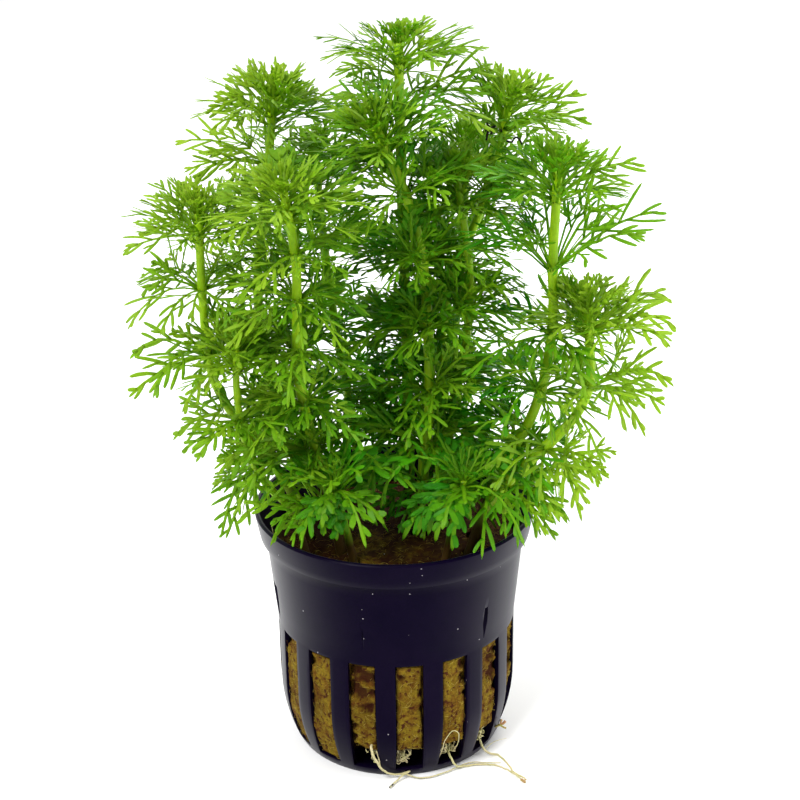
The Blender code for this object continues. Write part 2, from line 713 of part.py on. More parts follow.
def make_plant(group, cutters, canopy, green, stem_green):
    """All stems first, then the collars, then every leaf where it finds room."""
    stems = {}
    for shoot in SHOOTS:
        bm, route = stem_body(shoot, cutters)
        canopy.add(BVHTree.FromBMesh(bm), "stem_" + shoot["name"])
        stems[shoot["name"]] = (bm, route)

    whorls = []
    for row, shoot in enumerate(SHOOTS):
        route = stems[shoot["name"]][1]
        for index, (height, lift, length) in enumerate(shoot["whorls"]):
            centre, axis = at_height(route, height)
            twist = NEXT_TURN * index + ROW_TURN * row
            bm, roots = collar(centre, axis, taper(shoot, height), twist)
            name = "whorl_%s_%d" % (shoot["name"], index + 1)
            canopy.add(BVHTree.FromBMesh(bm), name)
            whorls.append((shoot, name, bm, roots, centre, axis, lift, length))

    order = sorted(whorls, key=lambda whorl: -whorl[4].z)
    for seed, (shoot, name, bm, roots, centre, axis, lift, length) in enumerate(order):
        form = "lobed" if centre.z < shoot["stalked_above"] else "stalked"
        leaf_ring(bm, roots, centre, axis, lift, length, canopy, name, seed, form)

    for seed, shoot in enumerate(SHOOTS):
        bm, route = stems[shoot["name"]]
        owner = "stem_" + shoot["name"]
        tip, axis = route[-1], (route[-1] - route[-2]).normalized()
        centre = tip - axis * TIP_SEGMENT / 2
        lift, length = shoot["tuft"]
        roots = ring_faces(bm, centre, axis, AROUND_STEM)
        form = "blade" if shoot["whorls"] else "lobed"
        leaf_ring(bm, roots, centre, axis, lift, length, canopy, owner, TUFT_SEED + seed, form)
        for height, lift, length in shoot["skirts"]:
            centre, axis = at_height(route, height)
            roots = ring_faces(bm, centre, axis, AROUND_STEM)[:SKIRT_LEAVES]
            number = SKIRT_SEED + seed + int(height / TIP_SEGMENT)
            leaf_ring(bm, roots, centre, axis, lift, length, canopy, owner, number, "blade")

    for shoot in SHOOTS:
        bm, route = stems[shoot["name"]]
        stem = add_mesh(bm, "stem_" + shoot["name"], group, stem_green, route[0])
        for other, name, whorl_bm, roots, centre, axis, lift, length in whorls:
            if other is shoot:
                whorl = add_mesh(whorl_bm, name, group, green, centre)
                whorl.parent = stem
                whorl.location = centre - route[0]


def make_roots(group, cutters, material):
    """The thin roots that hang in the slots and out of them."""
    for root in ROOTS:
        route = [Vector(point) for point in root["route"]]
        radii = [ROOT_RADIUS] * (len(route) - 2) + [ROOT_RADIUS * share for share in ROOT_TAPER]
        bm = tube("root_route", route, radii, 0, cutters)
        thing = add_mesh(bm, root["name"], group, material, route[0])
        smooth(thing, 60)


def main():
    clear_scene()
    group = collection("potted_dwarf_ambulia")
    cutters = collection("cutters")
    pot = make_pot(group, cutters, finish("violet_black_plastic", (0.012, 0.008, 0.020), 0.32))
    wool = make_wool(group, cutters, finish("olive_mineral_wool", (0.19, 0.13, 0.03), 0.95))
    canopy = Canopy()
    for thing in (pot, wool):
        canopy.add(BVHTree.FromBMesh(settled(thing)))
    green = finish("leaf_green", (0.10, 0.33, 0.02), 0.42)
    stem_green = finish("stem_green", (0.20, 0.42, 0.03), 0.40)
    make_plant(group, cutters, canopy, green, stem_green)
    make_roots(group, cutters, finish("cream_root", (0.72, 0.64, 0.48), 0.55))


main()
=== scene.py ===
# %% [markdown]
# # A water plant in its net pot
# The solids come packed from the part's own source: a pot, a plug of mineral wool,
# fourteen stems, their whorls of leaves and a few roots. Each solid leaf is a plain lobed
# blade. This lesson dresses them: every blade becomes a feathery leaf, the stems become
# round and jointed, the wool gets its fibres and the pot its moulded edges.

import json
import math
import random

import bmesh
import bpy
import numpy as np
from mathutils import Matrix, Vector, noise

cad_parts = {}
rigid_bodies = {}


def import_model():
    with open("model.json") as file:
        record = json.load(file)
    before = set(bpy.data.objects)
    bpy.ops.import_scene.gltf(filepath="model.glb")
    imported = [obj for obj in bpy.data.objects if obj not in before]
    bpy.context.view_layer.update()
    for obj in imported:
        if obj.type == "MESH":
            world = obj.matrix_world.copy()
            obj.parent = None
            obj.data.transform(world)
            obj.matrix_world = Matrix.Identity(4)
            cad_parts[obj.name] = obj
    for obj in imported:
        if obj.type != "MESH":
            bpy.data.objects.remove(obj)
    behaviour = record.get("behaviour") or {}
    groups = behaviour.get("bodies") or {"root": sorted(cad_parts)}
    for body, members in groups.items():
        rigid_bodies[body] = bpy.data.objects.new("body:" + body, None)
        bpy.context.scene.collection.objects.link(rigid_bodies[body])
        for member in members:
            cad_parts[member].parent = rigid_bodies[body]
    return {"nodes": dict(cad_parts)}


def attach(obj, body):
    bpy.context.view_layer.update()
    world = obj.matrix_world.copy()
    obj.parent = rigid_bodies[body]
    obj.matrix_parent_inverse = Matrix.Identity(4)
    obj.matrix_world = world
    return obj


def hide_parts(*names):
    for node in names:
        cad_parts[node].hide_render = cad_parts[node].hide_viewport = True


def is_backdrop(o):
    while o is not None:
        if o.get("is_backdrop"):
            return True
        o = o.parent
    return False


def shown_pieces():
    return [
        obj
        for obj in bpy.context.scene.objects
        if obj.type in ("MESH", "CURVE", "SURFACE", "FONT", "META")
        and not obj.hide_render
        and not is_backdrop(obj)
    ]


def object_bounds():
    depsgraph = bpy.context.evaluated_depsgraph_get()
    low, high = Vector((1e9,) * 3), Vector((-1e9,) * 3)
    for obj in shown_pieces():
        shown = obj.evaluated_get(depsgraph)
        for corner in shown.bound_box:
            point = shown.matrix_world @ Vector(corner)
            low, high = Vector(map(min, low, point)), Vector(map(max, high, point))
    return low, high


for thing in list(bpy.data.objects):
    bpy.data.objects.remove(thing)
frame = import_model()
cad_low, cad_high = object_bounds()
UP = Vector((0, 0, 1))
noise.seed_set(1)  # the roots stray by it, so that each run gives the same ones
print("solids:", len(frame["nodes"]), "box:", [round(x, 4) for x in (*cad_low, *cad_high)])

# %% [markdown]
# ## The camera
# The picture is taken from the front and well above, close enough that the pot's mouth
# opens as an oval. The camera looks down by its tilt, leans over by a small roll, and
# stands at a distance from the aim point on the pot's axis.

# %% Set up the camera
CAMERA_DISTANCE = 0.340
CAMERA_TILT, CAMERA_ROLL = math.radians(22.49), math.radians(-0.793)
CAMERA_AIM = Vector((0.001393, 0, 0.07143))
FOCAL_PIXELS, FRAME_PIXELS, SENSOR = 1768.1, 800, 36.0


def new_object(name, data):
    """An object with its data, in the scene."""
    thing = bpy.data.objects.new(name, data)
    bpy.context.scene.collection.objects.link(thing)
    return thing


camera = new_object("camera", bpy.data.cameras.new("camera"))
bpy.context.scene.camera = camera
camera.data.sensor_width = SENSOR
camera.data.lens = FOCAL_PIXELS / FRAME_PIXELS * SENSOR
camera.data.clip_start = 0.01
back = Vector((0, -math.cos(CAMERA_TILT), math.sin(CAMERA_TILT)))
level = Vector((1, 0, 0))
rise = back.cross(level)
right = level * math.cos(CAMERA_ROLL) + rise * math.sin(CAMERA_ROLL)
top = rise * math.cos(CAMERA_ROLL) - level * math.sin(CAMERA_ROLL)
turn = Matrix((right, top, back)).transposed().to_4x4()
camera.matrix_world = Matrix.Translation(CAMERA_AIM + back * CAMERA_DISTANCE) @ turn
print("camera at", [round(x, 4) for x in camera.matrix_world.translation])

# %% [markdown]
# ## Light and floor
# A white sweep lights the plant softly from all round, so that even thin leaves glow.
# The side towards the camera is dimmer, which keeps the front of the dark pot dark and
# lets its flanks catch a pale edge. Three lamps model the forms: a broad one from the
# upper left, a softer one from behind, and a low one from the right for the pot's edge.

# %% Make the light and the floor
def fill(tree, made, inputs):
    """Set a node's inputs: a value is kept, and another node's outlet is linked."""
    for name, value in inputs.items():
        if isinstance(value, bpy.types.NodeSocket):
            tree.links.new(value, made.inputs[name])
        else:
            made.inputs[name].default_value = value


def add_node(tree, kind, inputs=None, **settings):
    """A shader node with its settings and its inputs."""
    made = tree.nodes.new("ShaderNode" + kind)
    for name, value in settings.items():
        setattr(made, name, value)
    fill(tree, made, inputs or {})
    return made


def ranged(tree, value, source=(0.0, 1.0), target=(0.0, 1.0), **settings):
    """A value carried over from one range to another."""
    made = add_node(tree, "MapRange", {
        "Value": value, "From Min": source[0], "From Max": source[1],
        "To Min": target[0], "To Max": target[1]}, **settings)
    return made.outputs["Result"]


def principled(name):
    """A new material, its tree and its Principled node."""
    material = bpy.data.materials.new(name)
    material.use_nodes = True
    return material, material.node_tree, material.node_tree.nodes["Principled BSDF"]


world = bpy.data.worlds.new("white_sweep")
bpy.context.scene.world = world
world.use_nodes = True
sky = world.node_tree
sky.nodes.clear()
where = add_node(sky, "TexCoord").outputs["Generated"]
depth = add_node(sky, "SeparateXYZ", {"Vector": where}).outputs["Y"]
glow = add_node(sky, "Background", {"Color": ranged(sky, depth, (-0.85, 0.0), (0.05, 1.0)),
                                    "Strength": 1.0})
add_node(sky, "OutputWorld", {"Surface": glow.outputs["Background"]})

for name, place, aim, size, power in (
        ("lamp_upper_left", (-0.35, -0.45, 0.75), (0, 0, 0.07), 0.35, 8.0),
        ("lamp_behind", (0.25, 0.55, 0.60), (0, 0, 0.08), 0.40, 4.0),
        ("lamp_right", (0.60, -0.15, 0.12), (0.04, 0, 0.06), 0.25, 2.4)):
    data = bpy.data.lights.new(name, "AREA")
    data.size = size
    data.energy = power
    lamp = new_object(name, data)
    lamp.location = place
    lamp.rotation_euler = (Vector(aim) - Vector(place)).to_track_quat("-Z", "Y").to_euler()
bpy.context.scene.view_settings.view_transform = "Standard"

FLOOR_HALF = 3.0
floor_mesh = bpy.data.meshes.new("floor")
floor_mesh.from_pydata([(x * FLOOR_HALF, y * FLOOR_HALF, 0) for x, y in
                        ((-1, -1), (1, -1), (1, 1), (-1, 1))], [], [(0, 1, 2, 3)])
floor = new_object("floor", floor_mesh)
paper, tree, matt = principled("pale_floor")
cloud = add_node(tree, "TexNoise", {"Scale": 3.0}).outputs["Fac"]
fill(tree, matt, {"Base Color": ranged(tree, cloud, target=(0.93, 0.95)), "Roughness": 0.9,
                  "Specular IOR Level": 0.1})
floor_mesh.materials.append(paper)
floor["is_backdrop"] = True

# %% [markdown]
# ## Shared surface effects
# Living tissue, wool and plastic all vary over their surface. Two node groups give that:
# one blends two colours in soft patches and makes a fine relief, and one scatters small
# specks. Each material sets their scale and strength for itself.

# %% Build the shader groups
FLOAT, COLOR = "NodeSocketFloat", "NodeSocketColor"


def new_group(name, inputs):
    """A shader group with its inputs, and the outlets that they come in by."""
    group = bpy.data.node_groups.new(name, "ShaderNodeTree")
    for label, value in inputs.items():
        kind = FLOAT if isinstance(value, float) else COLOR
        socket = group.interface.new_socket(label, in_out="INPUT", socket_type=kind)
        socket.default_value = value
    return group, group.nodes.new("NodeGroupInput").outputs


def close_group(group, outputs):
    """Give the group its outputs: label, kind of socket and the outlet that feeds it."""
    for label, kind, _ in outputs:
        group.interface.new_socket(label, in_out="OUTPUT", socket_type=kind)
    made = group.nodes.new("NodeGroupOutput")
    fill(group, made, {label: outlet for label, _, outlet in outputs})
    return group


def object_place(tree):
    """The surface point in the part's own axes."""
    return add_node(tree, "TexCoord").outputs["Object"]


def calc(tree, operation, first, second):
    """The result of a sum on two values."""
    return add_node(tree, "Math", {0: first, 1: second}, operation=operation).outputs["Value"]


def mix(tree, factor, first, second, blend="MIX"):
    """Two colours mixed by a factor."""
    made = add_node(tree, "Mix", {0: factor, 6: first, 7: second}, data_type="RGBA",
                    blend_type=blend)
    return made.outputs[2]


def noise_value(tree, place, **inputs):
    """A noise texture's value at a place."""
    given = {name.capitalize(): value for name, value in inputs.items()}
    return add_node(tree, "TexNoise", {"Vector": place, **given}).outputs["Fac"]


def patches_group():
    """Two colours in soft patches, with a finer mottle over them, and a relief."""
    group, given = new_group("soft_patches", {
        "First": (0.1, 0.1, 0.1, 1), "Second": (0.2, 0.2, 0.2, 1), "Patch Scale": 120.0,
        "Grain Scale": 900.0, "Grain Strength": 0.25})
    place = object_place(group)
    patch = noise_value(group, place, scale=given["Patch Scale"], detail=3.0, roughness=0.6)
    grain = noise_value(group, place, scale=given["Grain Scale"], detail=2.0, roughness=0.5)
    mixed = mix(group, ranged(group, patch, (0.35, 0.65)), given["First"], given["Second"])
    swing = calc(group, "SUBTRACT", grain, 0.5)
    swing = calc(group, "MULTIPLY", swing, given["Grain Strength"])
    mottled = add_node(group, "VectorMath", {
        "Vector": mixed, "Scale": calc(group, "ADD", swing, 1.0)}, operation="SCALE")
    return close_group(group, (("Color", COLOR, mottled.outputs["Vector"]),
                               ("Height", FLOAT, grain)))


def specks_group():
    """A mask of small scattered specks, such as dust, droplets or grit."""
    group, given = new_group("scattered_specks", {"Scale": 700.0, "Size": 0.12, "Amount": 0.5})
    cells = add_node(group, "TexVoronoi", {"Vector": object_place(group),
                                           "Scale": given["Scale"]}, feature="F1").outputs
    luck = add_node(group, "SeparateColor", {"Color": cells["Color"]}).outputs["Red"]
    within = calc(group, "LESS_THAN", cells["Distance"], given["Size"])
    chosen = calc(group, "LESS_THAN", luck, given["Amount"])
    return close_group(group, (("Mask", FLOAT, calc(group, "MULTIPLY", within, chosen)),))


PATCHES, SPECKS = patches_group(), specks_group()


def mottle(tree, first, second, patch, grain=900.0, strength=0.25):
    """Soft patches of two colours in a material: the outlets of their colour and height."""
    made = add_node(tree, "Group", {
        "First": (*first, 1), "Second": (*second, 1), "Patch Scale": patch,
        "Grain Scale": grain, "Grain Strength": strength}, node_tree=PATCHES)
    return made.outputs["Color"], made.outputs["Height"]


def bump(tree, shader, height, strength, distance):
    """Relief from a height, on the shader's normal."""
    normal = add_node(tree, "Bump", {"Strength": strength, "Distance": distance,
                                     "Height": height}).outputs["Normal"]
    fill(tree, shader, {"Normal": normal})
    return normal


print("groups:", PATCHES.name, SPECKS.name)

# %% [markdown]
# ## Leaf green
# A fresh leaf is yellow-green where it is young and deep green where it is old, with a
# paler midrib. Two numbers stored on the mesh say so: age and rib. On the leaves the age
# number also carries painted shade deep in the clump and painted light on its low right
# side, and it darkens them towards the back. Light also comes through the thin blade, so
# part of the surface is a Translucent shader, which shows the light from the far side in
# a warmer green. A stem is paler and juicier, and its age runs from the fresh tip to the
# brown foot, where a stain and painted shade darken it near the wool.

# %% Mix the leaf and stem materials
LEAF_TONES = ((0.0, (0.330, 0.500, 0.026)), (0.35, (0.150, 0.345, 0.006)),
              (0.7, (0.048, 0.280, 0.002)), (1.0, (0.008, 0.205, 0.002)))
THROUGH_TONES = ((0.0, (0.500, 0.760, 0.014)), (1.0, (0.090, 0.560, 0.003)))
# The last, brown stop shows at the stem's foot: stain and painted shade.
STEM_TONES = ((0.0, (0.310, 0.550, 0.004)), (0.5, (0.290, 0.490, 0.003)),
              (0.8, (0.120, 0.200, 0.004)), (1.0, (0.075, 0.042, 0.008)))
RIB_GREEN, RIB_STRENGTH = (0.260, 0.460, 0.006, 1), 0.55
LEAF_THROUGH = 0.44
LIVING_GLOSS = 0.22


def ramp(tree, value, stops):
    """A colour from a ramp of stops over a value."""
    made = add_node(tree, "ValToRGB", {"Fac": value})
    elements = made.color_ramp.elements
    elements.remove(elements[1])
    for index, (place, colour) in enumerate(stops):
        element = elements[0] if index == 0 else elements.new(place)
        element.position = place
        element.color = (*colour, 1)
    return made.outputs["Color"]


def stored(tree, name):
    """A number that the mesh keeps at each point."""
    return add_node(tree, "Attribute", attribute_name=name).outputs["Fac"]


def leaf_material():
    material, tree, shader = principled("feathery_leaf_green")
    age = stored(tree, "age")
    ribbed = mix(tree, calc(tree, "MULTIPLY", stored(tree, "rib"), RIB_STRENGTH),
                 ramp(tree, age, LEAF_TONES), RIB_GREEN)
    colour, height = mottle(tree, (0.80, 0.86, 0.8), (1.16, 1.10, 1.1), 160.0, 1500.0)
    fill(tree, shader, {"Base Color": mix(tree, 1.0, ribbed, colour, "MULTIPLY"),
                        "Roughness": ranged(tree, height, target=(0.42, 0.58)),
                        "Specular IOR Level": LIVING_GLOSS})
    normal = bump(tree, shader, height, 0.35, 0.0002)
    veil = add_node(tree, "BsdfTranslucent", {"Color": ramp(tree, age, THROUGH_TONES),
                                              "Normal": normal})
    both = add_node(tree, "MixShader", {0: LEAF_THROUGH, 1: shader.outputs["BSDF"],
                                        2: veil.outputs["BSDF"]})
    fill(tree, tree.nodes["Material Output"], {"Surface": both.outputs["Shader"]})
    return material


def stem_material():
    material, tree, shader = principled("juicy_stem_green")
    colour, height = mottle(tree, (0.84, 0.88, 0.8), (1.12, 1.08, 1.3), 210.0, 1800.0)
    tone = ramp(tree, stored(tree, "age"), STEM_TONES)
    fill(tree, shader, {"Base Color": mix(tree, 1.0, tone, colour, "MULTIPLY"),
                        "Roughness": ranged(tree, height, target=(0.38, 0.54)),
                        "Specular IOR Level": LIVING_GLOSS, "Subsurface Weight": 0.20,
                        "Subsurface Radius": (0.35, 0.8, 0.1), "Subsurface Scale": 0.001})
    stretch = add_node(tree, "Mapping", {"Vector": object_place(tree),
                                         "Scale": (1500.0, 1500.0, 90.0)}).outputs["Vector"]
    bump(tree, shader, noise_value(tree, stretch, scale=1.0, detail=2.0), 0.5, 0.00015)
    return material


LEAF_GREEN, STEM_GREEN = leaf_material(), stem_material()
print("greens:", LEAF_GREEN.name, STEM_GREEN.name)

# %% [markdown]
# ## How a shoot stands
# Each shoot leaves the wool, bends, and climbs. These routes are the ones its solid stem
# follows, with the height, lift and leaf length of every whorl, and of the low skirts of
# leaves that the solid fuses to its stem. Two short shoots at the foot carry no whorls.
# Leaves read their own places from the solids, so only the stem needs its route here.

# %% List the shoots
WOOL_TOP = 0.0440
WOOL_LUMPS = (
    # x, y, height and spread of each rise or hollow in the top
    (0.000, 0.000, 0.0012, 0.012), (-0.007, -0.017, 0.0022, 0.005),
    (-0.015, -0.015, -0.0022, 0.005), (0.010, -0.018, 0.0008, 0.005),
    (0.012, 0.014, 0.0014, 0.007),
)
PLANT_DEPTH = 0.0030
TENTHS = 10000  # tenths of a millimetre in a metre
SHOOT_ROWS = (
    # name, stem radius and route, with its foot's place on the wool first; then the
    # height, lift in degrees and leaf length of each whorl, and of each low skirt.
    # Lengths are in tenths of a millimetre.
    ("centre", 11.5, (
        (45, -30), (58, -36, 590), (70, -40, 730), (68, -30, 870), (58, -30, 1010),
        (30, -40, 1130), (-24, -56, 1265)),
     ((1225, 20, 140), (1130, 12, 170), (1005, 8, 180), (870, 4, 170), (750, 0, 170)),
     ((640, -2, 160), (540, -8, 160))),
    ("front_left", 10.5, (
        (-100, -90), (-128, -102, 590), (-153, -112, 690), (-172, -122, 810),
        (-171, -135, 920), (-167, -160, 1050), (-182, -192, 1185)),
     ((1145, 18, 140), (1065, 8, 160), (970, 2, 160), (865, -2, 160), (760, -8, 160)),
     ((655, -6, 150), (545, -10, 140))),
    ("far_left", 10, (
        (-165, -30), (-203, -42, 550), (-263, -55, 650), (-311, -60, 730), (-340, -60, 810),
        (-347, -60, 940), (-346, -60, 1110)),
     ((1070, 8, 140), (965, -4, 150), (835, -8, 160)), ((610, -22, 150),)),
    ("right", 11, (
        (150, -30), (205, -55, 590), (258, -75, 700), (286, -80, 800), (297, -80, 910),
        (295, -80, 1020), (301, -80, 1185)),
     ((1140, 20, 180), (1000, 30, 200), (875, 0, 180), (760, -8, 170)),
     ((645, -8, 160), (545, -14, 140))),
    ("low_right", 11, (
        (135, -110), (182, -108, 545), (250, -102, 620), (305, -100, 675), (348, -100, 730),
        (367, -100, 800), (358, -100, 935)),
     ((885, 12, 150), (775, 0, 170), (655, -28, 180)), ((580, -20, 140),)),
    ("back_centre", 11.5, (
        (30, 60), (30, 62, 590), (29, 68, 760), (26, 75, 950), (22, 80, 1120), (20, 80, 1385)),
     ((1345, 14, 160), (1265, 2, 180), (1140, 10, 180), (970, 8, 170)),
     ((820, 4, 160), (660, 0, 160))),
    ("back_left", 10.5, (
        (-120, 75), (-175, 78, 590), (-230, 85, 710), (-256, 100, 820), (-256, 118, 960),
        (-238, 118, 1070), (-213, 103, 1285)),
     ((1245, 16, 160), (1155, 8, 180), (1035, 4, 180), (905, 4, 170), (780, -4, 160)),
     ((645, 0, 150),)),
    ("back_right", 10, (
        (95, 80), (98, 82, 640), (98, 86, 820), (124, 95, 950), (165, 106, 1040),
        (202, 118, 1150), (226, 120, 1265)),
     ((1210, 12, 160), (1095, 6, 160), (925, 4, 160)), ((740, 2, 150),)),
    ("inner_right", 9, (
        (95, 10), (112, 6, 660), (140, 5, 820), (148, 8, 960), (124, 18, 1150)),
     ((1085, 12, 140),), ((890, 4, 150),)),
    ("short_left", 8, (
        (-160, -105), (-196, -122, 540), (-240, -136, 605), (-272, -145, 690),
        (-284, -150, 790), (-280, -150, 895)),
     ((850, 10, 110), (740, -4, 140)), ((640, -30, 130),)),
    ("rear_left", 10, (
        (-60, 135), (-85, 165, 620), (-115, 205, 800), (-135, 230, 980), (-145, 240, 1140)),
     ((1090, 18, 140), (950, 8, 170), (800, 0, 170)), ((680, -6, 160), (565, -14, 150))),
    ("rear_right", 10, (
        (70, 145), (98, 180, 620), (128, 218, 800), (145, 240, 990), (150, 248, 1150)),
     ((1100, 18, 140), (960, 8, 170), (805, 0, 170)), ((680, -6, 160), (565, -14, 150))),
    ("foot_left", 8.5, (
        (-75, -150), (-92, -170, 530), (-112, -192, 625)),
     (), ()),
    ("foot_right", 8.5, (
        (90, -150), (110, -170, 530), (130, -190, 630)),
     (), ()),
)


def metres(values):
    """A row of tenths of a millimetre, in metres."""
    return tuple(value / TENTHS for value in values)


def shoot_of(name, radius, route, whorls, skirts):
    """A row of the table as a shoot, with its lengths in metres."""
    rings = [[(height / TENTHS, lift, length / TENTHS) for height, lift, length in ring]
             for ring in (whorls, skirts)]
    return dict(name=name, radius=radius / TENTHS, route=[metres(point) for point in route],
                whorls=rings[0], skirts=rings[1])


def clamp(value, low=0.0, high=1.0):
    return min(max(value, low), high)


def wool_height(x, y):
    """Height of the wool's lumpy top."""
    height = WOOL_TOP
    for lump_x, lump_y, swell, spread in WOOL_LUMPS:
        away = (x - lump_x) ** 2 + (y - lump_y) ** 2
        height += swell * math.exp(-away / spread ** 2)
    return height


def shoot_route(shoot):
    """The route's points, with the foot set into the wool."""
    foot_x, foot_y = shoot["route"][0]
    foot = Vector((foot_x, foot_y, wool_height(foot_x, foot_y) - PLANT_DEPTH))
    return [foot] + [Vector(point) for point in shoot["route"][1:]]


def at_height(route, height):
    """The point and direction of a route where it passes a height."""
    for low, high in zip(route, route[1:]):
        if low.z <= height <= high.z:
            share = (height - low.z) / (high.z - low.z)
            return low.lerp(high, share), (high - low).normalized()
    return route[-1].copy(), (route[-1] - route[-2]).normalized()


def stem_radius(shoot, height):
    """Full in the wool and three quarters at the tip."""
    tip = shoot["route"][-1][2]
    return shoot["radius"] * (1.0 - 0.25 * clamp((height - WOOL_TOP) / (tip - WOOL_TOP)))


SHOOTS = [shoot_of(*row) for row in SHOOT_ROWS]
ROUTES = {shoot["name"]: shoot_route(shoot) for shoot in SHOOTS}
print("shoots:", len(SHOOTS), "whorls:", sum(len(shoot["whorls"]) for shoot in SHOOTS))

# %% [markdown]
# ## A mesh that grows strip by strip
# A feathery leaf is a midrib with many narrow lobes. Each of them is one thin strip with a
# flat underside and a low ridge, which narrows to a point at its end, so it is a closed
# shape from every side and costs few faces. Its lengthwise edges are marked sharp, so that
# each lobe shades like a flat blade and not like a rod. The strips gather in one mesh,
# which also keeps each point's age and rib values for the material.

# %% Define the tissue mesh
SIDES = 3


class Tissue:
    """Thin closed strips gathered into one mesh."""

    def __init__(self, creased=True):
        self.points, self.faces, self.age, self.rib = [], [], [], []
        self.creased = creased

    def strip(self, line, widths, ridges, side, age, rib):
        """A strip along a line, drawn to a point at its end."""
        first = len(self.points)
        count = len(line) - 1
        for index in range(count):
            along = line[index + 1] - line[max(index - 1, 0)]
            up = along.cross(side)
            up.normalize()
            across = up.cross(along)
            across.normalize()
            middle = line[index]
            wide = across * widths[index]
            self.points += [middle - wide, middle + up * ridges[index], middle + wide]
        self.points.append(line[-1])
        for index in range(count):
            start = first + SIDES * index
            for corner in range(SIDES):
                low, high = start + corner, start + (corner + 1) % SIDES
                if index < count - 1:
                    self.faces.append((low, high, high + SIDES, low + SIDES))
                else:
                    self.faces.append((low, high, start + SIDES))
        self.faces.append((first + 2, first + 1, first))
        added = SIDES * count + 1
        self.age += [age] * added
        self.rib += [rib] * added

    def mark(self):
        return len(self.points), len(self.faces)

    def undo(self, mark):
        points, faces = mark
        del self.points[points:], self.faces[faces:], self.age[points:], self.rib[points:]

    def triangles(self):
        return sum(len(face) - 2 for face in self.faces)

    def build(self, name, material):
        """The gathered strips as a smooth-shaded object."""
        mesh = bpy.data.meshes.new(name)
        mesh.from_pydata(self.points, [], self.faces)
        keep_values(mesh, age=self.age, rib=self.rib)
        mesh.shade_smooth()
        if self.creased:
            ends = np.empty(2 * len(mesh.edges), np.int32)
            mesh.edges.foreach_get("vertices", ends)
            sharp = mesh.attributes.new("sharp_edge", "BOOLEAN", "EDGE")
            sharp.data.foreach_set("value", abs(ends[::2] - ends[1::2]) == SIDES)
        mesh.materials.append(material)
        return new_object(name, mesh)


def keep_values(mesh, **values):
    """Store rows of numbers on a mesh's points for its material."""
    for label, row in values.items():
        layer = mesh.attributes.new(label, "FLOAT", "POINT")
        layer.data.foreach_set("value", np.array(row, np.float32))


# %% [markdown]
# ## One feathery leaf
# The leaf is cut into narrow lobes that are widest past their middle. They leave the
# midrib by turns to its left and right, bend forward until they run nearly along it, and
# get shorter towards the tip; only the longest ones fork. Upper leaves keep a bare stalk
# for their first third, lower leaves carry broader lobes, and crown leaves are short with
# crowded tips. The midrib arches and its outer part hangs.

# %% Describe the leaf forms
FORMS = {
    # the half widths of lobe and midrib in metres, the reach from which a lobe forks, and
    # for each lobe its place along the midrib, its length as a share of the leaf's and
    # its angle there
    "stalked": (0.00031, 0.00023, 0.41, (
        (0.36, 0.42, 48), (0.47, 0.42, 44), (0.58, 0.36, 40), (0.69, 0.29, 37),
        (0.80, 0.21, 34), (0.90, 0.12, 30))),
    "lower": (0.00036, 0.00028, 0.39, (
        (0.32, 0.38, 52), (0.43, 0.40, 48), (0.54, 0.35, 44), (0.65, 0.29, 41),
        (0.77, 0.21, 38), (0.89, 0.13, 34))),
    "broad": (0.00052, 0.00034, 0.32, (
        (0.34, 0.33, 58), (0.46, 0.38, 54), (0.58, 0.35, 50), (0.70, 0.28, 46),
        (0.83, 0.18, 40))),
    "young": (0.00030, 0.00023, 0.34, (
        (0.40, 0.35, 54), (0.52, 0.35, 49), (0.63, 0.30, 44), (0.74, 0.24, 40),
        (0.86, 0.16, 34))),
    "tiny": (0.00034, 0.00026, 0.60, ((0.46, 0.34, 46), (0.63, 0.30, 40), (0.80, 0.20, 34))),
}
# where a strip's rings stand along it, and its width there
LOBE = ((0.0, 0.36, 0.70, 0.92, 1.0), (0.76, 0.98, 1.04, 0.74))
TOOTH = ((0.0, 0.58, 0.88, 1.0), (0.60, 0.84, 0.56))
RIB_SHARES = (0.0, 0.20, 0.40, 0.60, 0.80, 0.91, 0.97, 1.0)
END_WIDTHS = (0.92, 0.66)
BODY_RINGS = len(RIB_SHARES) - 1 - len(END_WIDTHS)
RIDGE, RIB_RIDGE, RIB_VALUE = 0.34, 0.9, 0.8
DROOP = 2.6
LEAST_LEAF, FULL_LEAF, LEAST_WIDTH, MORE_WIDTH = 0.0015, 0.011, 0.58, 0.42
TOOTH_WIDTH, TOOTH_BEND = 0.92, math.radians(14)
LEAF_LUCK = {
    # from and to of every random share, length or angle in degrees of a leaf
    "place": (-0.025, 0.025), "slant": (-9, 9), "tilt": (-0.25, 0.30), "length": (0.76, 1.20),
    "bend": (6, 30), "droop": (-0.03, 0.10), "width": (0.88, 1.14), "fork_place": (0.75, 1.0),
    "fork": (28, 44), "fork_length": (0.36, 0.52),
}


def between(first, second, angle):
    """The direction that lies at an angle from the first one, towards the second."""
    return first * math.cos(angle) + second * math.sin(angle)


def square_to(axis, away):
    """The direction of a vector once its part along the axis is taken off."""
    return (away - axis * away.dot(axis)).normalized()


def lobe(tissue, rng, start, frame_here, length, width, bend, age, outline):
    """One lobe that bends forward. Returns the points along it."""
    heading, inward, flat = frame_here
    droop = rng.uniform(*LEAF_LUCK["droop"])
    line = []
    place, before = start, 0.0
    for share in outline[0]:
        ahead = between(heading, inward, bend * share)
        place = place + ahead * (length * (share - before)) - UP * (
            droop * length * (share * share - before * before))
        before = share
        line.append(place)
    own = rng.uniform(*LEAF_LUCK["width"]) * width
    halves = [own * part for part in outline[1]]
    tissue.strip(line, halves, [half * RIDGE for half in halves], flat, age, 0.0)
    return line


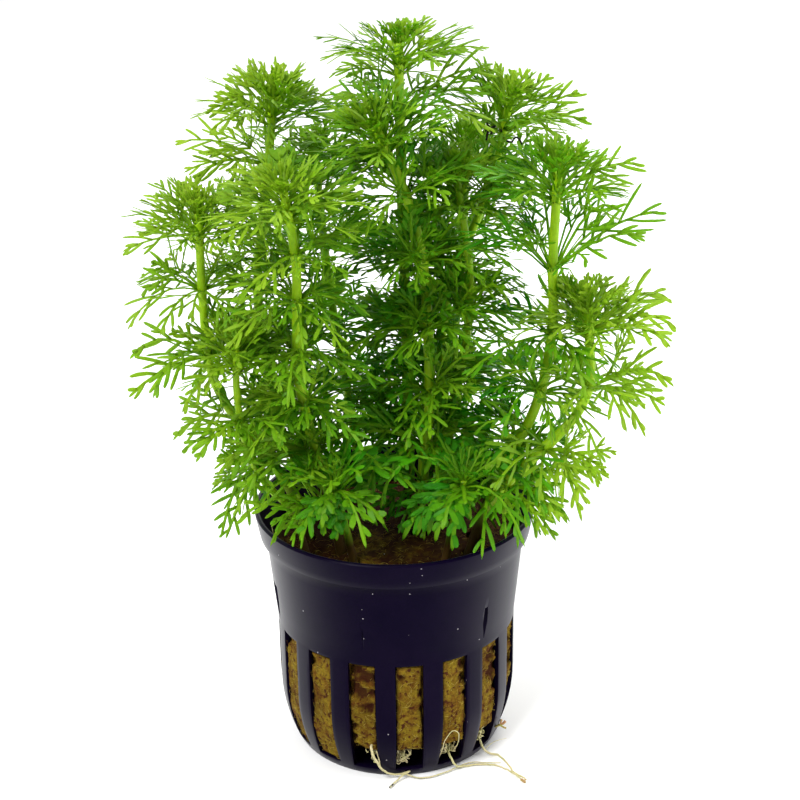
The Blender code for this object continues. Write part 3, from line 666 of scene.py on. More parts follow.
def feathery_leaf(tissue, rng, base, tip, side, form, age, arch=0.20):
    """A whole leaf from base to tip, with its side vector across the blade."""
    lobe_half, rib_half, forked, lobes = FORMS[form]
    chord = tip - base
    size = chord.length
    if size < LEAST_LEAF:
        return
    arch_up = UP * (arch * size)

    def on_rib(share):
        return base + chord * share + arch_up * (share - share ** DROOP)

    ahead = chord.normalized()
    side = square_to(ahead, side)
    slender = min(1.0, LEAST_WIDTH + MORE_WIDTH * size / FULL_LEAF)
    width = lobe_half * slender
    rib = rib_half * (0.5 + 0.5 * slender)
    halves = [rib * (1.2 - 0.25 * share) for share in RIB_SHARES[:BODY_RINGS]]
    halves += [width * part for part in END_WIDTHS]
    ridges = [rib * RIB_RIDGE] * BODY_RINGS + [width * RIDGE] * len(END_WIDTHS)
    tissue.strip([on_rib(share) for share in RIB_SHARES], halves, ridges, side, age, RIB_VALUE)
    hand = rng.choice((-1, 1))
    for share, reach, angle in lobes:
        hand = -hand
        here = share + rng.uniform(*LEAF_LUCK["place"])
        along = (on_rib(here + 0.03) - on_rib(here - 0.03)).normalized()
        up = along.cross(side).normalized()
        slant = math.radians(angle + rng.uniform(*LEAF_LUCK["slant"]))
        across = (side * hand + up * rng.uniform(*LEAF_LUCK["tilt"])).normalized()
        heading = between(along, across, slant)
        inward = (along * math.sin(slant) - across * math.cos(slant)).normalized()
        length = reach * size * rng.uniform(*LEAF_LUCK["length"])
        flat = heading.cross(up).normalized()
        bend = math.radians(rng.uniform(*LEAF_LUCK["bend"]))
        line = lobe(tissue, rng, on_rib(here), (heading, inward, flat), length, width, bend,
                    age, LOBE)
        if reach > forked:
            root = line[0].lerp(line[1], rng.uniform(*LEAF_LUCK["fork_place"]))
            straight = (line[2] - line[1]).normalized()
            out = square_to(straight, inward * rng.choice((-1, 1, 1)))
            fork = math.radians(rng.uniform(*LEAF_LUCK["fork"]))
            turn_in = straight * math.sin(fork) - out * math.cos(fork)
            lobe(tissue, rng, root, (between(straight, out, fork), turn_in, flat),
                 length * rng.uniform(*LEAF_LUCK["fork_length"]), width * TOOTH_WIDTH,
                 TOOTH_BEND, age, TOOTH)


trial = Tissue()
feathery_leaf(trial, random.Random(1), Vector(), Vector((0.016, 0, 0)), Vector((0, 1, 0)),
              "stalked", 0.5)
print("triangles in one upper leaf:", trial.triangles())

# %% [markdown]
# ## Where each solid leaf grows
# The solid leaves already found free space among their neighbours. Taking away the
# points near the stem leaves each leaf's own points, and those tell its tip and the
# direction of its blade. The feathery leaf then takes exactly that place.

# %% Read the leaves from the solids
def welded_points(name):
    """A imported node's points without doubles, and the edges between them."""
    mesh = frame["nodes"][name].data
    number = {}
    own = []
    for vert in mesh.vertices:
        key = tuple(round(value, 6) for value in vert.co)
        own.append(number.setdefault(key, len(number)))
    points = [Vector(key) for key in number]
    edges = {tuple(sorted((own[a], own[b]))) for a, b in (edge.vertices for edge in mesh.edges)}
    return points, [edge for edge in edges if edge[0] != edge[1]]


def nearest_on_route(point, route):
    """The closest point of a route, and the route's direction there."""
    best = None
    for low, high in zip(route, route[1:]):
        run = high - low
        share = min(max((point - low).dot(run) / run.length_squared, 0.0), 1.0)
        place = low + run * share
        gap = (point - place).length
        if best is None or gap < best[0]:
            best = (gap, place, run.normalized())
    return best


def solid_leaves(name, route, clear):
    """(tip, side vector) of every solid leaf of a node, found as its loose groups of points."""
    points, edges = welded_points(name)
    far = [nearest_on_route(point, route)[0] > clear for point in points]
    group = list(range(len(points)))

    def head(index):
        while group[index] != index:
            index = group[index]
        return index

    for a, b in edges:
        if far[a] and far[b]:
            group[head(a)] = head(b)
    found = {}
    for index, is_far in enumerate(far):
        if is_far:
            found.setdefault(head(index), []).append(points[index])
    leaves = []
    for members in found.values():
        tip = max(members, key=lambda point: nearest_on_route(point, route)[0])
        middle = sum(members, Vector()) / len(members)
        ahead = (tip - nearest_on_route(tip, route)[1]).normalized()
        spread = [point - middle - ahead * (point - middle).dot(ahead) for point in members]
        side = max(spread, key=lambda away: away.length)
        leaves.append((tip, side.normalized()))
    return leaves


CLEAR_OF_COLLAR = 0.0027
sample = solid_leaves("whorl_centre_2", ROUTES["centre"], CLEAR_OF_COLLAR)
print("leaves read from one whorl:", len(sample))

# %% [markdown]
# ## Leaves that shape the outline
# About ninety leaves stand out against the light, or against the dark wool and the pot's
# rim, and give the plant its ragged outline. Each has its tip listed here under the whorl
# or low skirt it grows from. If a solid leaf ends near that tip, this is the same leaf,
# turned a little; the rest are more of the small leaves between the solid ones. Their
# blades face the front.

# %% Aim the outline's leaves
OUTLINE_TIPS = {
    # x, y and z of each tip in tenths of a millimetre
    "whorl_far_left_1": (
        (-485, -80, 1045), (-445, -130, 1088), (-439, -20, 1086), (-431, 40, 1099)),
    "whorl_far_left_2": (
        (-473, 0, 964), (-451, -120, 974), (-474, -160, 922), (-407, -220, 934)),
    "whorl_far_left_3": (
        (-494, -40, 820), (-478, -180, 800), (-426, -230, 818), (-404, -100, 899)),
    "whorl_short_left_1": ((-377, -220, 786),),
    "whorl_short_left_2": ((-411, -120, 688), (-389, -180, 690), (-354, -250, 701)),
    "whorl_back_left_1": ((-337, 80, 1262), (-312, 50, 1289)),
    "whorl_back_left_2": ((-411, 170, 1178), (-354, -30, 1161), (-287, -70, 1184)),
    "whorl_back_centre_2": ((201, 130, 1320), (182, 50, 1302)),
    "whorl_back_right_1": (
        (359, 120, 1279), (376, 140, 1219), (210, 230, 1310), (161, 20, 1265)),
    "whorl_right_1": ((445, -100, 1198), (412, -30, 1177), (375, -210, 1172)),
    "whorl_right_2": ((484, -90, 1109), (451, -160, 1083), (388, -220, 1154)),
    "whorl_low_right_1": ((518, -30, 921), (515, -150, 907), (498, -200, 890)),
    "whorl_low_right_2": (
        (519, -130, 786), (500, -160, 761), (457, -220, 724), (415, -270, 757), (506, 0, 763)),
    "whorl_low_right_3": (
        (397, -160, 626), (381, -200, 622), (352, -240, 602), (347, -210, 552)),
    "skirt_low_right_58": ((322, -200, 543), (304, -240, 566), (277, -260, 548)),
    "skirt_right_64": ((276, -240, 568), (224, -280, 534)),
    "skirt_right_54": ((158, -295, 521), (205, -240, 534)),
    "skirt_front_left_65": (
        (-326, -230, 677), (-308, -200, 665), (-295, -240, 666), (-279, -250, 644)),
    "skirt_front_left_54": (
        (-245, -250, 603), (-224, -260, 576), (-190, -260, 547), (-280, -270, 596)),
    "skirt_foot_left_62": (
        (-76, -220, 545), (-172, -260, 546), (-131, -270, 575), (-135, -200, 528),
        (-107, -210, 520), (-87, -190, 520), (-157, -220, 555)),
    "skirt_foot_right_63": (
        (14, -200, 513), (40, -210, 526), (75, -220, 518), (106, -240, 511), (107, -200, 518),
        (62, -210, 528), (140, -220, 564)),
    "skirt_centre_54": (
        (-43, -90, 490), (-16, -80, 493), (7, -120, 487), (56, -130, 477), (32, -100, 490)),
    "skirt_centre_64": (
        (-64, -140, 559), (-26, -160, 558), (106, -120, 532), (-99, -120, 673),
        (-81, -100, 692)),
    "whorl_centre_5": ((67, -220, 726), (22, -200, 694)),
    "skirt_back_centre_66": ((-57, 0, 616), (-32, -20, 619), (-11, 10, 611), (9, -30, 625)),
}
AIM_REACH = 0.008
FRONT = Vector((0, -0.9, 0.4))


def skirt_key(name, height):
    """A low skirt's name in the table: its shoot and its height in whole millimetres."""
    return "skirt_%s_%d" % (name, int(height * 1000 + 0.01))


def aimed_leaves(key, centre, rng, solid):
    """The solids' leaves: the nearest ones turned to the listed tips, and the rest added."""
    leaves = list(solid)
    turned = []
    for place in OUTLINE_TIPS.get(key, ()):
        tip = Vector(metres(place))
        ahead = (tip - centre).normalized()
        side = ahead.cross(FRONT).normalized()
        above = side.cross(ahead)
        roll = math.radians(rng.uniform(-30, 30))
        near = min(leaves, key=lambda leaf: (leaf[0] - tip).length, default=None)
        if near and (near[0] - tip).length < AIM_REACH:
            leaves.remove(near)
        turned.append((tip, between(side, above, roll)))
    return turned + leaves


print("aimed leaves:", sum(len(tips) for tips in OUTLINE_TIPS.values()))

# %% [markdown]
# ## Room to grow
# A leaf may not pass through the pot's wall, sink into the wool, cross a stem or reach
# out of the solids' box. A trial leaf that does is lifted a little and then shortened, by
# turns, until it is clear.

# %% Test a leaf's place
WALL_ZONE = (0.0236, 0.0279)
POT_INSIDE, RIM_TOP = 0.0240, 0.0502
OVER_WOOL, BOX_MARGIN = 0.0006, 0.0001
SEGMENTS = [(low, high, shoot["name"], shoot["radius"]) for shoot in SHOOTS
            for low, high in zip(ROUTES[shoot["name"]], ROUTES[shoot["name"]][1:])]
SEGMENT_LOW, SEGMENT_HIGH, SEGMENT_OWNER, SEGMENT_RADIUS = (
    np.array(column) for column in zip(*SEGMENTS))
SEGMENT_RUN = SEGMENT_HIGH - SEGMENT_LOW


def crosses_stem(points, owner):
    """True if any of the points lies inside a stem other than the owner's."""
    away = points[:, None, :] - SEGMENT_LOW[None]
    share = (away * SEGMENT_RUN).sum(2) / (SEGMENT_RUN ** 2).sum(1)
    gap = np.linalg.norm(away - share.clip(0, 1)[..., None] * SEGMENT_RUN, axis=2)
    return bool(((gap < SEGMENT_RADIUS) & (SEGMENT_OWNER != owner)).any())


def out_of_room(points):
    """True if any point is outside the box, in the pot's wall or in the wool."""
    too_low = points.min(0) < np.array(cad_low) + BOX_MARGIN
    too_high = points.max(0) > np.array(cad_high) - BOX_MARGIN
    if too_low.any() or too_high.any():
        return True
    reach = np.hypot(points[:, 0], points[:, 1])
    height = points[:, 2]
    in_wall = (height < RIM_TOP) & (reach > WALL_ZONE[0]) & (reach < WALL_ZONE[1])
    in_wool = (height < WOOL_TOP + OVER_WOOL) & (reach < POT_INSIDE)
    return bool(in_wall.any() or in_wool.any())


LIFT_STEP, SHORTEN, TRIES = 0.13, 0.86, 6


def grow(tissue, rng, owner, base, tip, side, form, age, arch):
    """A feathery leaf, lifted or shortened until it has room, or none at all."""
    mark = tissue.mark()
    shape_luck = rng.uniform(0.4, 1.7)
    for attempt in range(TRIES):
        feathery_leaf(tissue, rng, base, tip, side, form, age, arch * shape_luck)
        points = np.array(tissue.points[mark[0]:])
        if not len(points):
            return
        outer_rib = points[2 * SIDES:SIDES * (len(RIB_SHARES) - 1):SIDES]
        if not out_of_room(points) and not crosses_stem(outer_rib, owner):
            return
        tissue.undo(mark)
        if attempt % 2 == 0:
            reach = (tip - base).length
            tip = base + ((tip - base).normalized() + UP * LIFT_STEP).normalized() * reach
        else:
            tip = base + (tip - base) * SHORTEN


print("stretches of stem to keep clear of:", len(SEGMENTS))

# %% [markdown]
# ## Whorls of feathery leaves
# A solid whorl has a few broad leaves, and the real one many fine ones. The solid's own
# places come first. New leaves then go into the widest gaps around the stem, a little
# shorter and at mixed heights, until the whorl is full. Below the top whorl, small side
# tufts sprout from the angle between leaf and stem. Inside the clump there are more of
# both. The age value that colours a leaf rises down the stem, rises towards the middle of
# the clump as partly age and partly painted shade, rises towards the back, and falls on
# the low right side as painted light; some shoots have a tone of their own.

# %% Grow the whorls
WHORL_FULL, MORE_INSIDE = 17, 8
STALKED_FROM, HIGH_WHORL, TOP_AGE = 0.090, 0.1, -0.12
FEWEST_TUFTS, MORE_TUFTS = 2, 5
CLUMP_CENTRE = Vector((0.0, 0.002, 0.0))
CLUMP_RADIUS, DEEP_RADIUS = 0.042, 0.034
LOW_END, LOW_SPAN, BEHIND_SPAN, SUNNY_SPAN = 0.046, 0.085, 0.03, 0.04
DEEP_TOP, DEEP_SPAN = 0.122, 0.030
# Weights of the age value: deep is partly painted shade, sunny is painted light.
AGE_AND_SHADE = dict(newest=0.06, low=0.16, deep=0.56, behind=0.14, sunny=0.14)
SHOOT_TONES = {"back_centre": -0.20, "back_left": -0.18, "right": 0.28, "far_left": -0.02,
               "low_right": -0.08, "foot_left": 0.06, "foot_right": 0.16}
LEAF_FOOT, TUFT_FOOT = 0.7, 0.6  # as shares of the stem's radius
WHORL_LUCK = {
    # from and to of every random turn in radians, lift and roll in degrees, height and age
    "around": (-0.16, 0.16), "lift": (-16, 18), "height": (-0.0006, 0.0006),
    "roll": (-38, 38), "solid_age": (-0.14, 0.14), "new_age": (-0.16, 0.16),
}


def leaf_age_and_shade(place):
    """From 0 for new to 1 for old: older lower down, higher deep in the clump as partly painted
    shade, higher at the back, lower on the low right as painted light.
    """
    # Deep in the clump: partly older leaves, partly painted shade.
    deep = 1.0 - min((place - CLUMP_CENTRE).xy.length / CLUMP_RADIUS, 1.0)
    low = 1.0 - clamp((place.z - LOW_END) / LOW_SPAN)
    # Higher towards the back, which darkens the leaves there.
    behind = clamp(place.y / BEHIND_SPAN)
    # Lower on the right, low down: painted light from that side.
    sunny = clamp(place.x / SUNNY_SPAN) * min(low * 1.6, 1.0)
    return (AGE_AND_SHADE["newest"] + AGE_AND_SHADE["low"] * low + AGE_AND_SHADE["deep"] * deep + AGE_AND_SHADE["behind"] * behind
            - AGE_AND_SHADE["sunny"] * sunny)


def inside(centre):
    """How deep in the clump a whorl stands, from 0 to 1."""
    below = clamp((DEEP_TOP - centre.z) / DEEP_SPAN)
    return below * (1.0 - min((centre - CLUMP_CENTRE).xy.length / DEEP_RADIUS, 1.0))


def frame_round(axis):
    """Two level directions square to a stem."""
    first = axis.cross(Vector((0, 1, 0))).normalized()
    return first, axis.cross(first).normalized()


def widest_gap(angles):
    """The middle of the widest gap between angles around a stem."""
    if not angles:
        return 0.0
    ring = sorted(angles)
    ring.append(ring[0] + 2 * math.pi)
    width, start = max((b - a, a) for a, b in zip(ring, ring[1:]))
    return start + width / 2


def whorl_tissue(tissue, rng, joint, solid, count, lift, length, form, old,
                 shares=(0.62, 0.92), arch=0.10):
    """A whorl at a joint: first the solids' own leaves, then new ones in the widest gaps."""
    owner, centre, axis, radius = joint
    first, second = frame_round(axis)
    tone = SHOOT_TONES.get(owner, 0.0)
    angles = []

    def add_leaf(base, tip, side, luck):
        age = clamp(leaf_age_and_shade(tip) + old + tone + rng.uniform(*WHORL_LUCK[luck]))
        grow(tissue, rng, owner, base, tip, side, form, age, arch)

    for tip, side in solid:
        flat = square_to(axis, tip - centre)
        angles.append(math.atan2(flat.dot(second), flat.dot(first)))
        add_leaf(centre + flat * (radius * LEAF_FOOT), tip, side, "solid_age")
    while len(angles) < count:
        angle = widest_gap(angles)
        angles.append(angle)
        flat = between(first, second, angle + rng.uniform(*WHORL_LUCK["around"]))
        ahead = between(flat, axis, math.radians(lift + rng.uniform(*WHORL_LUCK["lift"])))
        size = length * rng.uniform(*shares)
        base = (centre + flat * (radius * LEAF_FOOT)
                + axis * rng.uniform(*WHORL_LUCK["height"]))
        roll = math.radians(rng.uniform(*WHORL_LUCK["roll"]))
        level_side = axis.cross(ahead).normalized()
        above = ahead.cross(level_side).normalized()
        add_leaf(base, base + ahead * size, between(level_side, above, roll), "new_age")


TUFT_LEAVES, TUFT_LIFT, TUFT_STALK, TUFT_LEAF = 6, 34, 0.0042, 0.0085
STALK_HALVES, STALK_RIDGES = (0.00042, 0.00036), (0.0004, 0.00034)
STALK_RIB, STALK_RADIUS = 0.9, 0.0002


def side_tufts(tissue, rng, joint, count):
    """Small rosettes on short stalks, as they grow from the angle between leaf and stem."""
    owner, centre, axis, radius = joint
    first, second = frame_round(axis)
    for _ in range(count):
        flat = between(first, second, rng.uniform(0, 2 * math.pi))
        ahead = between(flat, axis, math.radians(rng.uniform(28, 58)))
        side = ahead.cross(axis).normalized()
        foot = centre + flat * (radius * TUFT_FOOT)
        head = foot + ahead * (TUFT_STALK * rng.uniform(0.7, 1.3))
        if out_of_room(np.array([head])) or crosses_stem(np.array([head]), owner):
            continue
        age = min(1.0, leaf_age_and_shade(head) + rng.uniform(-0.12, 0.05))
        tissue.strip([foot, foot.lerp(head, 0.5), head], STALK_HALVES, STALK_RIDGES, side,
                     age, STALK_RIB)
        whorl_tissue(tissue, rng, (owner, head, ahead, STALK_RADIUS), [], TUFT_LEAVES,
                     TUFT_LIFT, TUFT_LEAF * rng.uniform(0.8, 1.2), "young", -0.04,
                     (0.75, 1.1), 0.12)


def tufts_at(centre):
    return FEWEST_TUFTS + round(MORE_TUFTS * inside(centre))


total = 0
for row, shoot in enumerate(SHOOTS):
    name = shoot["name"]
    route = ROUTES[name]
    for index, (height, lift, length) in enumerate(shoot["whorls"]):
        node_name = "whorl_%s_%d" % (name, index + 1)
        rng = random.Random(100 * row + index)
        tissue = Tissue()
        centre, axis = at_height(route, height)
        joint = (name, centre, axis, stem_radius(shoot, height))
        solid = aimed_leaves(node_name, centre, rng,
                             solid_leaves(node_name, route, CLEAR_OF_COLLAR))
        full = WHORL_FULL + round(MORE_INSIDE * inside(centre))
        whorl_tissue(tissue, rng, joint, solid, full, lift, length,
                     "lower" if height < STALKED_FROM else "stalked",
                     TOP_AGE if index == 0 else 0.0, arch=0.28 if height > HIGH_WHORL else 0.45)
        side_tufts(tissue, rng, joint, 0 if index == 0 else tufts_at(centre))
        piece = tissue.build("leaves_%s_%d" % (name, index + 1), LEAF_GREEN)
        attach(piece, "root")
        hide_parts(node_name)
        total += tissue.triangles()
print("whorl triangles:", total)

# %% [markdown]
# ## Stems with their crowns and low leaves
# A stem is round, swells at each joint, narrows to its tip and is browned at its foot, a
# stain and painted shade near the wool. Its smooth line runs through the solid's route.
# The growing tip hides in a crown: tiers of young leaves, the inner ones upright and
# short, the outer ones spread. The two short shoots at the foot end in a rosette of broad
# leaves instead.

# %% Grow the stems
STEM_SIDES, RING_STEP = 12, 0.0010
NODE_SWELL, NODE_REACH = 0.16, 0.0011
# How high above the wool, and how much, the stem's foot is browned: stain and painted shade.
FOOT_STAIN_AND_SHADE_HEIGHT, FOOT_STAIN_AND_SHADE = 0.015, 0.8
FOOT_AGE, TIP_GAIN = 0.55, 0.45
CROWN_TIERS = (
    # drop below the tip, lift in degrees, leaf length, leaves and their form
    (0.0000, 80, 0.0036, 4, "tiny"), (0.0007, 66, 0.0049, 6, "tiny"),
    (0.0016, 54, 0.0066, 8, "tiny"), (0.0028, 44, 0.0088, 9, "young"),
    (0.0046, 32, 0.0112, 11, "stalked"), (0.0070, 12, 0.0142, 13, "stalked"),
)
TIP_ABOVE = 0.0012
CROWN_AGE, CROWN_ARCH, TIER_STEP = -0.34, 0.03, 0.05
SKIRT_FULL, SKIRT_LIFT, SKIRT_LENGTH, SKIRT_ARCH = 15, 10, 0.94, 0.60
FOOT_TIERS = (
    # drop below the tip, leaves, lift, leaf length, form, extra age and arch
    (0.0012, SKIRT_FULL, 0, 0.0150, "broad", 0.10, 0.75),
    (0.0004, 9, 30, 0.0120, "broad", 0.08, 0.45),
    (0.0, 9, 58, 0.0078, "young", 0.0, 0.15),
)


def smooth_line(points, step):
    """Points on a smooth curve through the given ones."""
    padded = [points[0] * 2 - points[1], *points, points[-1] * 2 - points[-2]]
    line = []
    for a, b, c, d in zip(padded, padded[1:], padded[2:], padded[3:]):
        steps = max(2, int((c - b).length / step))
        for index in range(steps):
            t = index / steps
            line.append(0.5 * ((2 * b) + (c - a) * t + (2 * a - 5 * b + 4 * c - d) * t * t
                               + (3 * b - a - 3 * c + d) * t ** 3))
    line.append(points[-1])
    return line


def round_tube(points, faces, line, radii, sides):
    """Adds a closed round tube along a line."""
    first = len(points)
    side = Vector((1, 0, 0))
    for index, middle in enumerate(line):
        along = (line[min(index + 1, len(line) - 1)] - line[max(index - 1, 0)]).normalized()
        side = square_to(along, side)
        other = along.cross(side)
        for corner in range(sides):
            angle = 2 * math.pi * corner / sides
            points.append(middle + between(side, other, angle) * radii[index])
    last = first + (len(line) - 1) * sides
    for start in range(first, last, sides):
        for corner in range(sides):
            low, high = start + corner, start + (corner + 1) % sides
            faces.append((low, high, high + sides, low + sides))
    faces.append(tuple(range(first + sides - 1, first - 1, -1)))
    faces.append(tuple(range(last, last + sides)))


def stem_tissue(shoot, tissue):
    """The stem's round tube, with the age of each of its points."""
    line = smooth_line(ROUTES[shoot["name"]], RING_STEP)
    joints = [height for height, *_ in (*shoot["whorls"], *shoot["skirts"])]
    radii = []
    for point in line:
        near = min((abs(point.z - joint) for joint in joints), default=1.0)
        swell = 1.0 + NODE_SWELL * math.exp(-(near / NODE_REACH) ** 2)
        radii.append(stem_radius(shoot, point.z) * swell)
    round_tube(tissue.points, tissue.faces, line, radii, STEM_SIDES)
    tip = line[-1].z
    for point in tissue.points:
        above = point.z - WOOL_TOP
        # Near the wool the age rises to the brown stop: stain and painted shade.
        stained = max(0.0, 1.0 - above / FOOT_STAIN_AND_SHADE_HEIGHT)
        tissue.age.append(FOOT_AGE - TIP_GAIN * clamp(above / (tip - WOOL_TOP))
                          + FOOT_STAIN_AND_SHADE * min(stained, 1.0))
    tissue.rib = [0.0] * len(tissue.points)


def crown_tissue(shoot, tissue, rng, solid):
    """Tiers of young leaves around the growing tip, and the solid's own top leaves."""
    name, route = shoot["name"], ROUTES[shoot["name"]]
    tip, axis = route[-1], (route[-1] - route[-2]).normalized()
    radius = stem_radius(shoot, tip.z)
    for tier, (drop, lift, length, count, form) in enumerate(CROWN_TIERS):
        whorl_tissue(tissue, rng, (name, tip + axis * (TIP_ABOVE - drop), axis, radius), [],
                     count, lift, length, form, CROWN_AGE + TIER_STEP * tier, (0.85, 1.1),
                     CROWN_ARCH + TIER_STEP * tier)
    for leaf_tip, side in solid:
        flat = square_to(axis, leaf_tip - tip)
        grow(tissue, rng, name, tip + flat * radius * 0.6, leaf_tip, side, "young",
             max(0.0, leaf_age_and_shade(leaf_tip) - 0.2), 0.08)


def foot_tissue(shoot, tissue, rng, solid):
    """The rosette of broad leaves that ends a short shoot."""
    name, route = shoot["name"], ROUTES[shoot["name"]]
    axis = (route[-1] - route[-2]).normalized()
    spread = aimed_leaves(skirt_key(name, route[-1].z), route[-1], rng, solid)
    for drop, count, lift, length, form, old, arch in FOOT_TIERS:
        whorl_tissue(tissue, rng, (name, route[-1] - axis * drop, axis, shoot["radius"]),
                     spread, count, lift, length, form, old, arch=arch)
        spread = []


total = 0
for row, shoot in enumerate(SHOOTS):
    rng = random.Random(5000 + row)
    name = shoot["name"]
    route = ROUTES[name]
    stem = Tissue(creased=False)
    stem_tissue(shoot, stem)
    body = stem.build("shoot_" + name, STEM_GREEN)
    leafy = Tissue()
    levels = [route[-1].z] + [height for height, *_ in shoot["skirts"]]
    share_out = {height: [] for height in levels}
    for tip, side in solid_leaves("stem_" + name, route, shoot["radius"] + 0.00025):
        root_at = nearest_on_route(tip, route)[1].z
        nearest = min(share_out, key=lambda height: abs(height - root_at))
        share_out[nearest].append((tip, side))
    end_tissue = crown_tissue if shoot["whorls"] else foot_tissue
    end_tissue(shoot, leafy, rng, share_out[route[-1].z])
    for height, lift, length in shoot["skirts"]:
        centre, axis = at_height(route, height)
        joint = (name, centre, axis, stem_radius(shoot, height))
        spread = aimed_leaves(skirt_key(name, height), centre, rng, share_out[height])
        whorl_tissue(leafy, rng, joint, spread, SKIRT_FULL, lift + SKIRT_LIFT,
                     length * SKIRT_LENGTH, "lower", 0.0, arch=SKIRT_ARCH)
        side_tufts(leafy, rng, joint, tufts_at(centre))
    crown = leafy.build("crown_and_low_leaves_" + name, LEAF_GREEN)
    crown.parent = body
    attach(body, "root")
    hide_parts("stem_" + name)
    total += stem.triangles() + leafy.triangles()
print("stem and crown triangles:", total)

# %% [markdown]
# ## The pot's moulded body
# A net pot is one injection-moulded shell: a rounded foot, a straight wall pierced by
# sixteen tall slots, a slight flare and a stepped rim band. Cutting slots with a Boolean
# leaves slivers that spoil the highlights, so the wall is laid out as a grid whose columns
# already run along the slots' edges. The slot cells are simply left out and their edges
# bridged through the wall, and a small bevel rounds every edge that the mould would.

# %% Lay out the pot's wall
POT_HEIGHT, RIM_RADIUS, RIM_UNDER, RIM_BAND = 0.050, 0.0275, 0.0266, 0.0053
WALL_TOP_RADIUS, WALL_RADIUS, FOOT_RADIUS = 0.0255, 0.02375, 0.0205
FOOT_ROUND, FOOT_FULLNESS, FLARE_START = 0.014, 0.8, 0.027
WALL, FLOOR_THICK = 0.0011, 0.0012
SLOT_COUNT, SLOT_HALF, SLOT_TURN = 16, 0.0027, math.radians(6.0)
SLOT_PITCH = 2 * math.pi / SLOT_COUNT
SLOT_BOTTOM, SLOT_TOP = 0.0018, 0.0264
SLOT_COLUMNS, BAR_COLUMNS = 6, 5
NOTCH_TURNS = (-15, 45, 105, 165, 225, 285)
NOTCH_HALVES = (0.0003, 0.0008, 0.0011, 0.0011, 0.0011, 0.0021)
NOTCH_BOTTOM, NOTCH_TOP = 0.0285, 0.0355
SLOT_ROWS = (SLOT_BOTTOM, 0.0026, 0.0038, 0.0054, 0.0074, 0.0098, 0.0120, 0.0140, 0.0180,
             0.0220, SLOT_TOP)
UPPER_ROWS = (0.0270, 0.0300, 0.0340, 0.0380, 0.0420)
LEDGE = POT_HEIGHT - RIM_BAND
RIM_ROUNDING = (
    # how far inside the rim's radius and below its top each point of the rounding lies
    (0.0001, 0.0012), (0.0, 0.0004), (0.0002, 0.0001), (0.0005, 0.0), (0.0008, 0.0001),
    (0.0010, 0.0004))


def wall_radius(height):
    """Outer radius of the wall: a rounded foot, a straight middle and a flare."""
    if height < FOOT_ROUND:
        swell = math.sin(math.pi / 2 * height / FOOT_ROUND) ** FOOT_FULLNESS
        return FOOT_RADIUS + (WALL_RADIUS - FOOT_RADIUS) * swell
    flare = (height - FLARE_START) / (POT_HEIGHT - RIM_BAND - FLARE_START)
    return WALL_RADIUS + (WALL_TOP_RADIUS - WALL_RADIUS) * max(flare, 0.0)


def inner_radius(height):
    """Inner radius of the wall: straight from the floor to where the foot ends."""
    if height >= FOOT_ROUND:
        return wall_radius(height) - WALL
    floor_radius = wall_radius(FLOOR_THICK) - WALL
    share = (height - FLOOR_THICK) / (FOOT_ROUND - FLOOR_THICK)
    return floor_radius + (WALL_RADIUS - WALL - floor_radius) * share


def pot_profile():
    """(radius, height, slot row number or None), up the outside, over the rim and down."""
    levels = [(height, index) for index, height in enumerate(SLOT_ROWS)]
    levels += [(height, None) for height in UPPER_ROWS]
    rows = [(wall_radius(height), height, index)
            for height, index in [(0.0, None), (0.0006, None)] + levels]
    rows += [(WALL_TOP_RADIUS, LEDGE - 0.0003, None), (RIM_UNDER, LEDGE, None),
             (RIM_UNDER + 0.0003, LEDGE + 0.0014, None)]
    rows += [(RIM_RADIUS - inset, POT_HEIGHT - below, None) for inset, below in RIM_ROUNDING]
    rows += [(WALL_TOP_RADIUS, LEDGE, None), (WALL_TOP_RADIUS - WALL, LEDGE - WALL, None)]
    rows += [(inner_radius(height), height, index)
             for height, index in levels[::-1] + [(FLOOR_THICK, None)]]
    return rows


def pot_columns(radius):
    """The angles of the grid's columns, with their slot column number or None."""
    edge = math.asin(SLOT_HALF / radius)
    columns = []
    for slot in range(SLOT_COUNT):
        middle = SLOT_TURN + slot * SLOT_PITCH - math.pi / 2
        for step in range(SLOT_COLUMNS + 1):
            across = (2 * step / SLOT_COLUMNS - 1) * SLOT_HALF
            columns.append((middle + math.asin(across / radius), step))
        for step in range(1, BAR_COLUMNS):
            share = step / BAR_COLUMNS
            columns.append((middle + edge + (SLOT_PITCH - 2 * edge) * share, None))
    return columns


def mesh_of(bm, name):
    """The finished mesh of an edit mesh."""
    mesh = bpy.data.meshes.new(name)
    bm.to_mesh(mesh)
    bm.free()
    return mesh


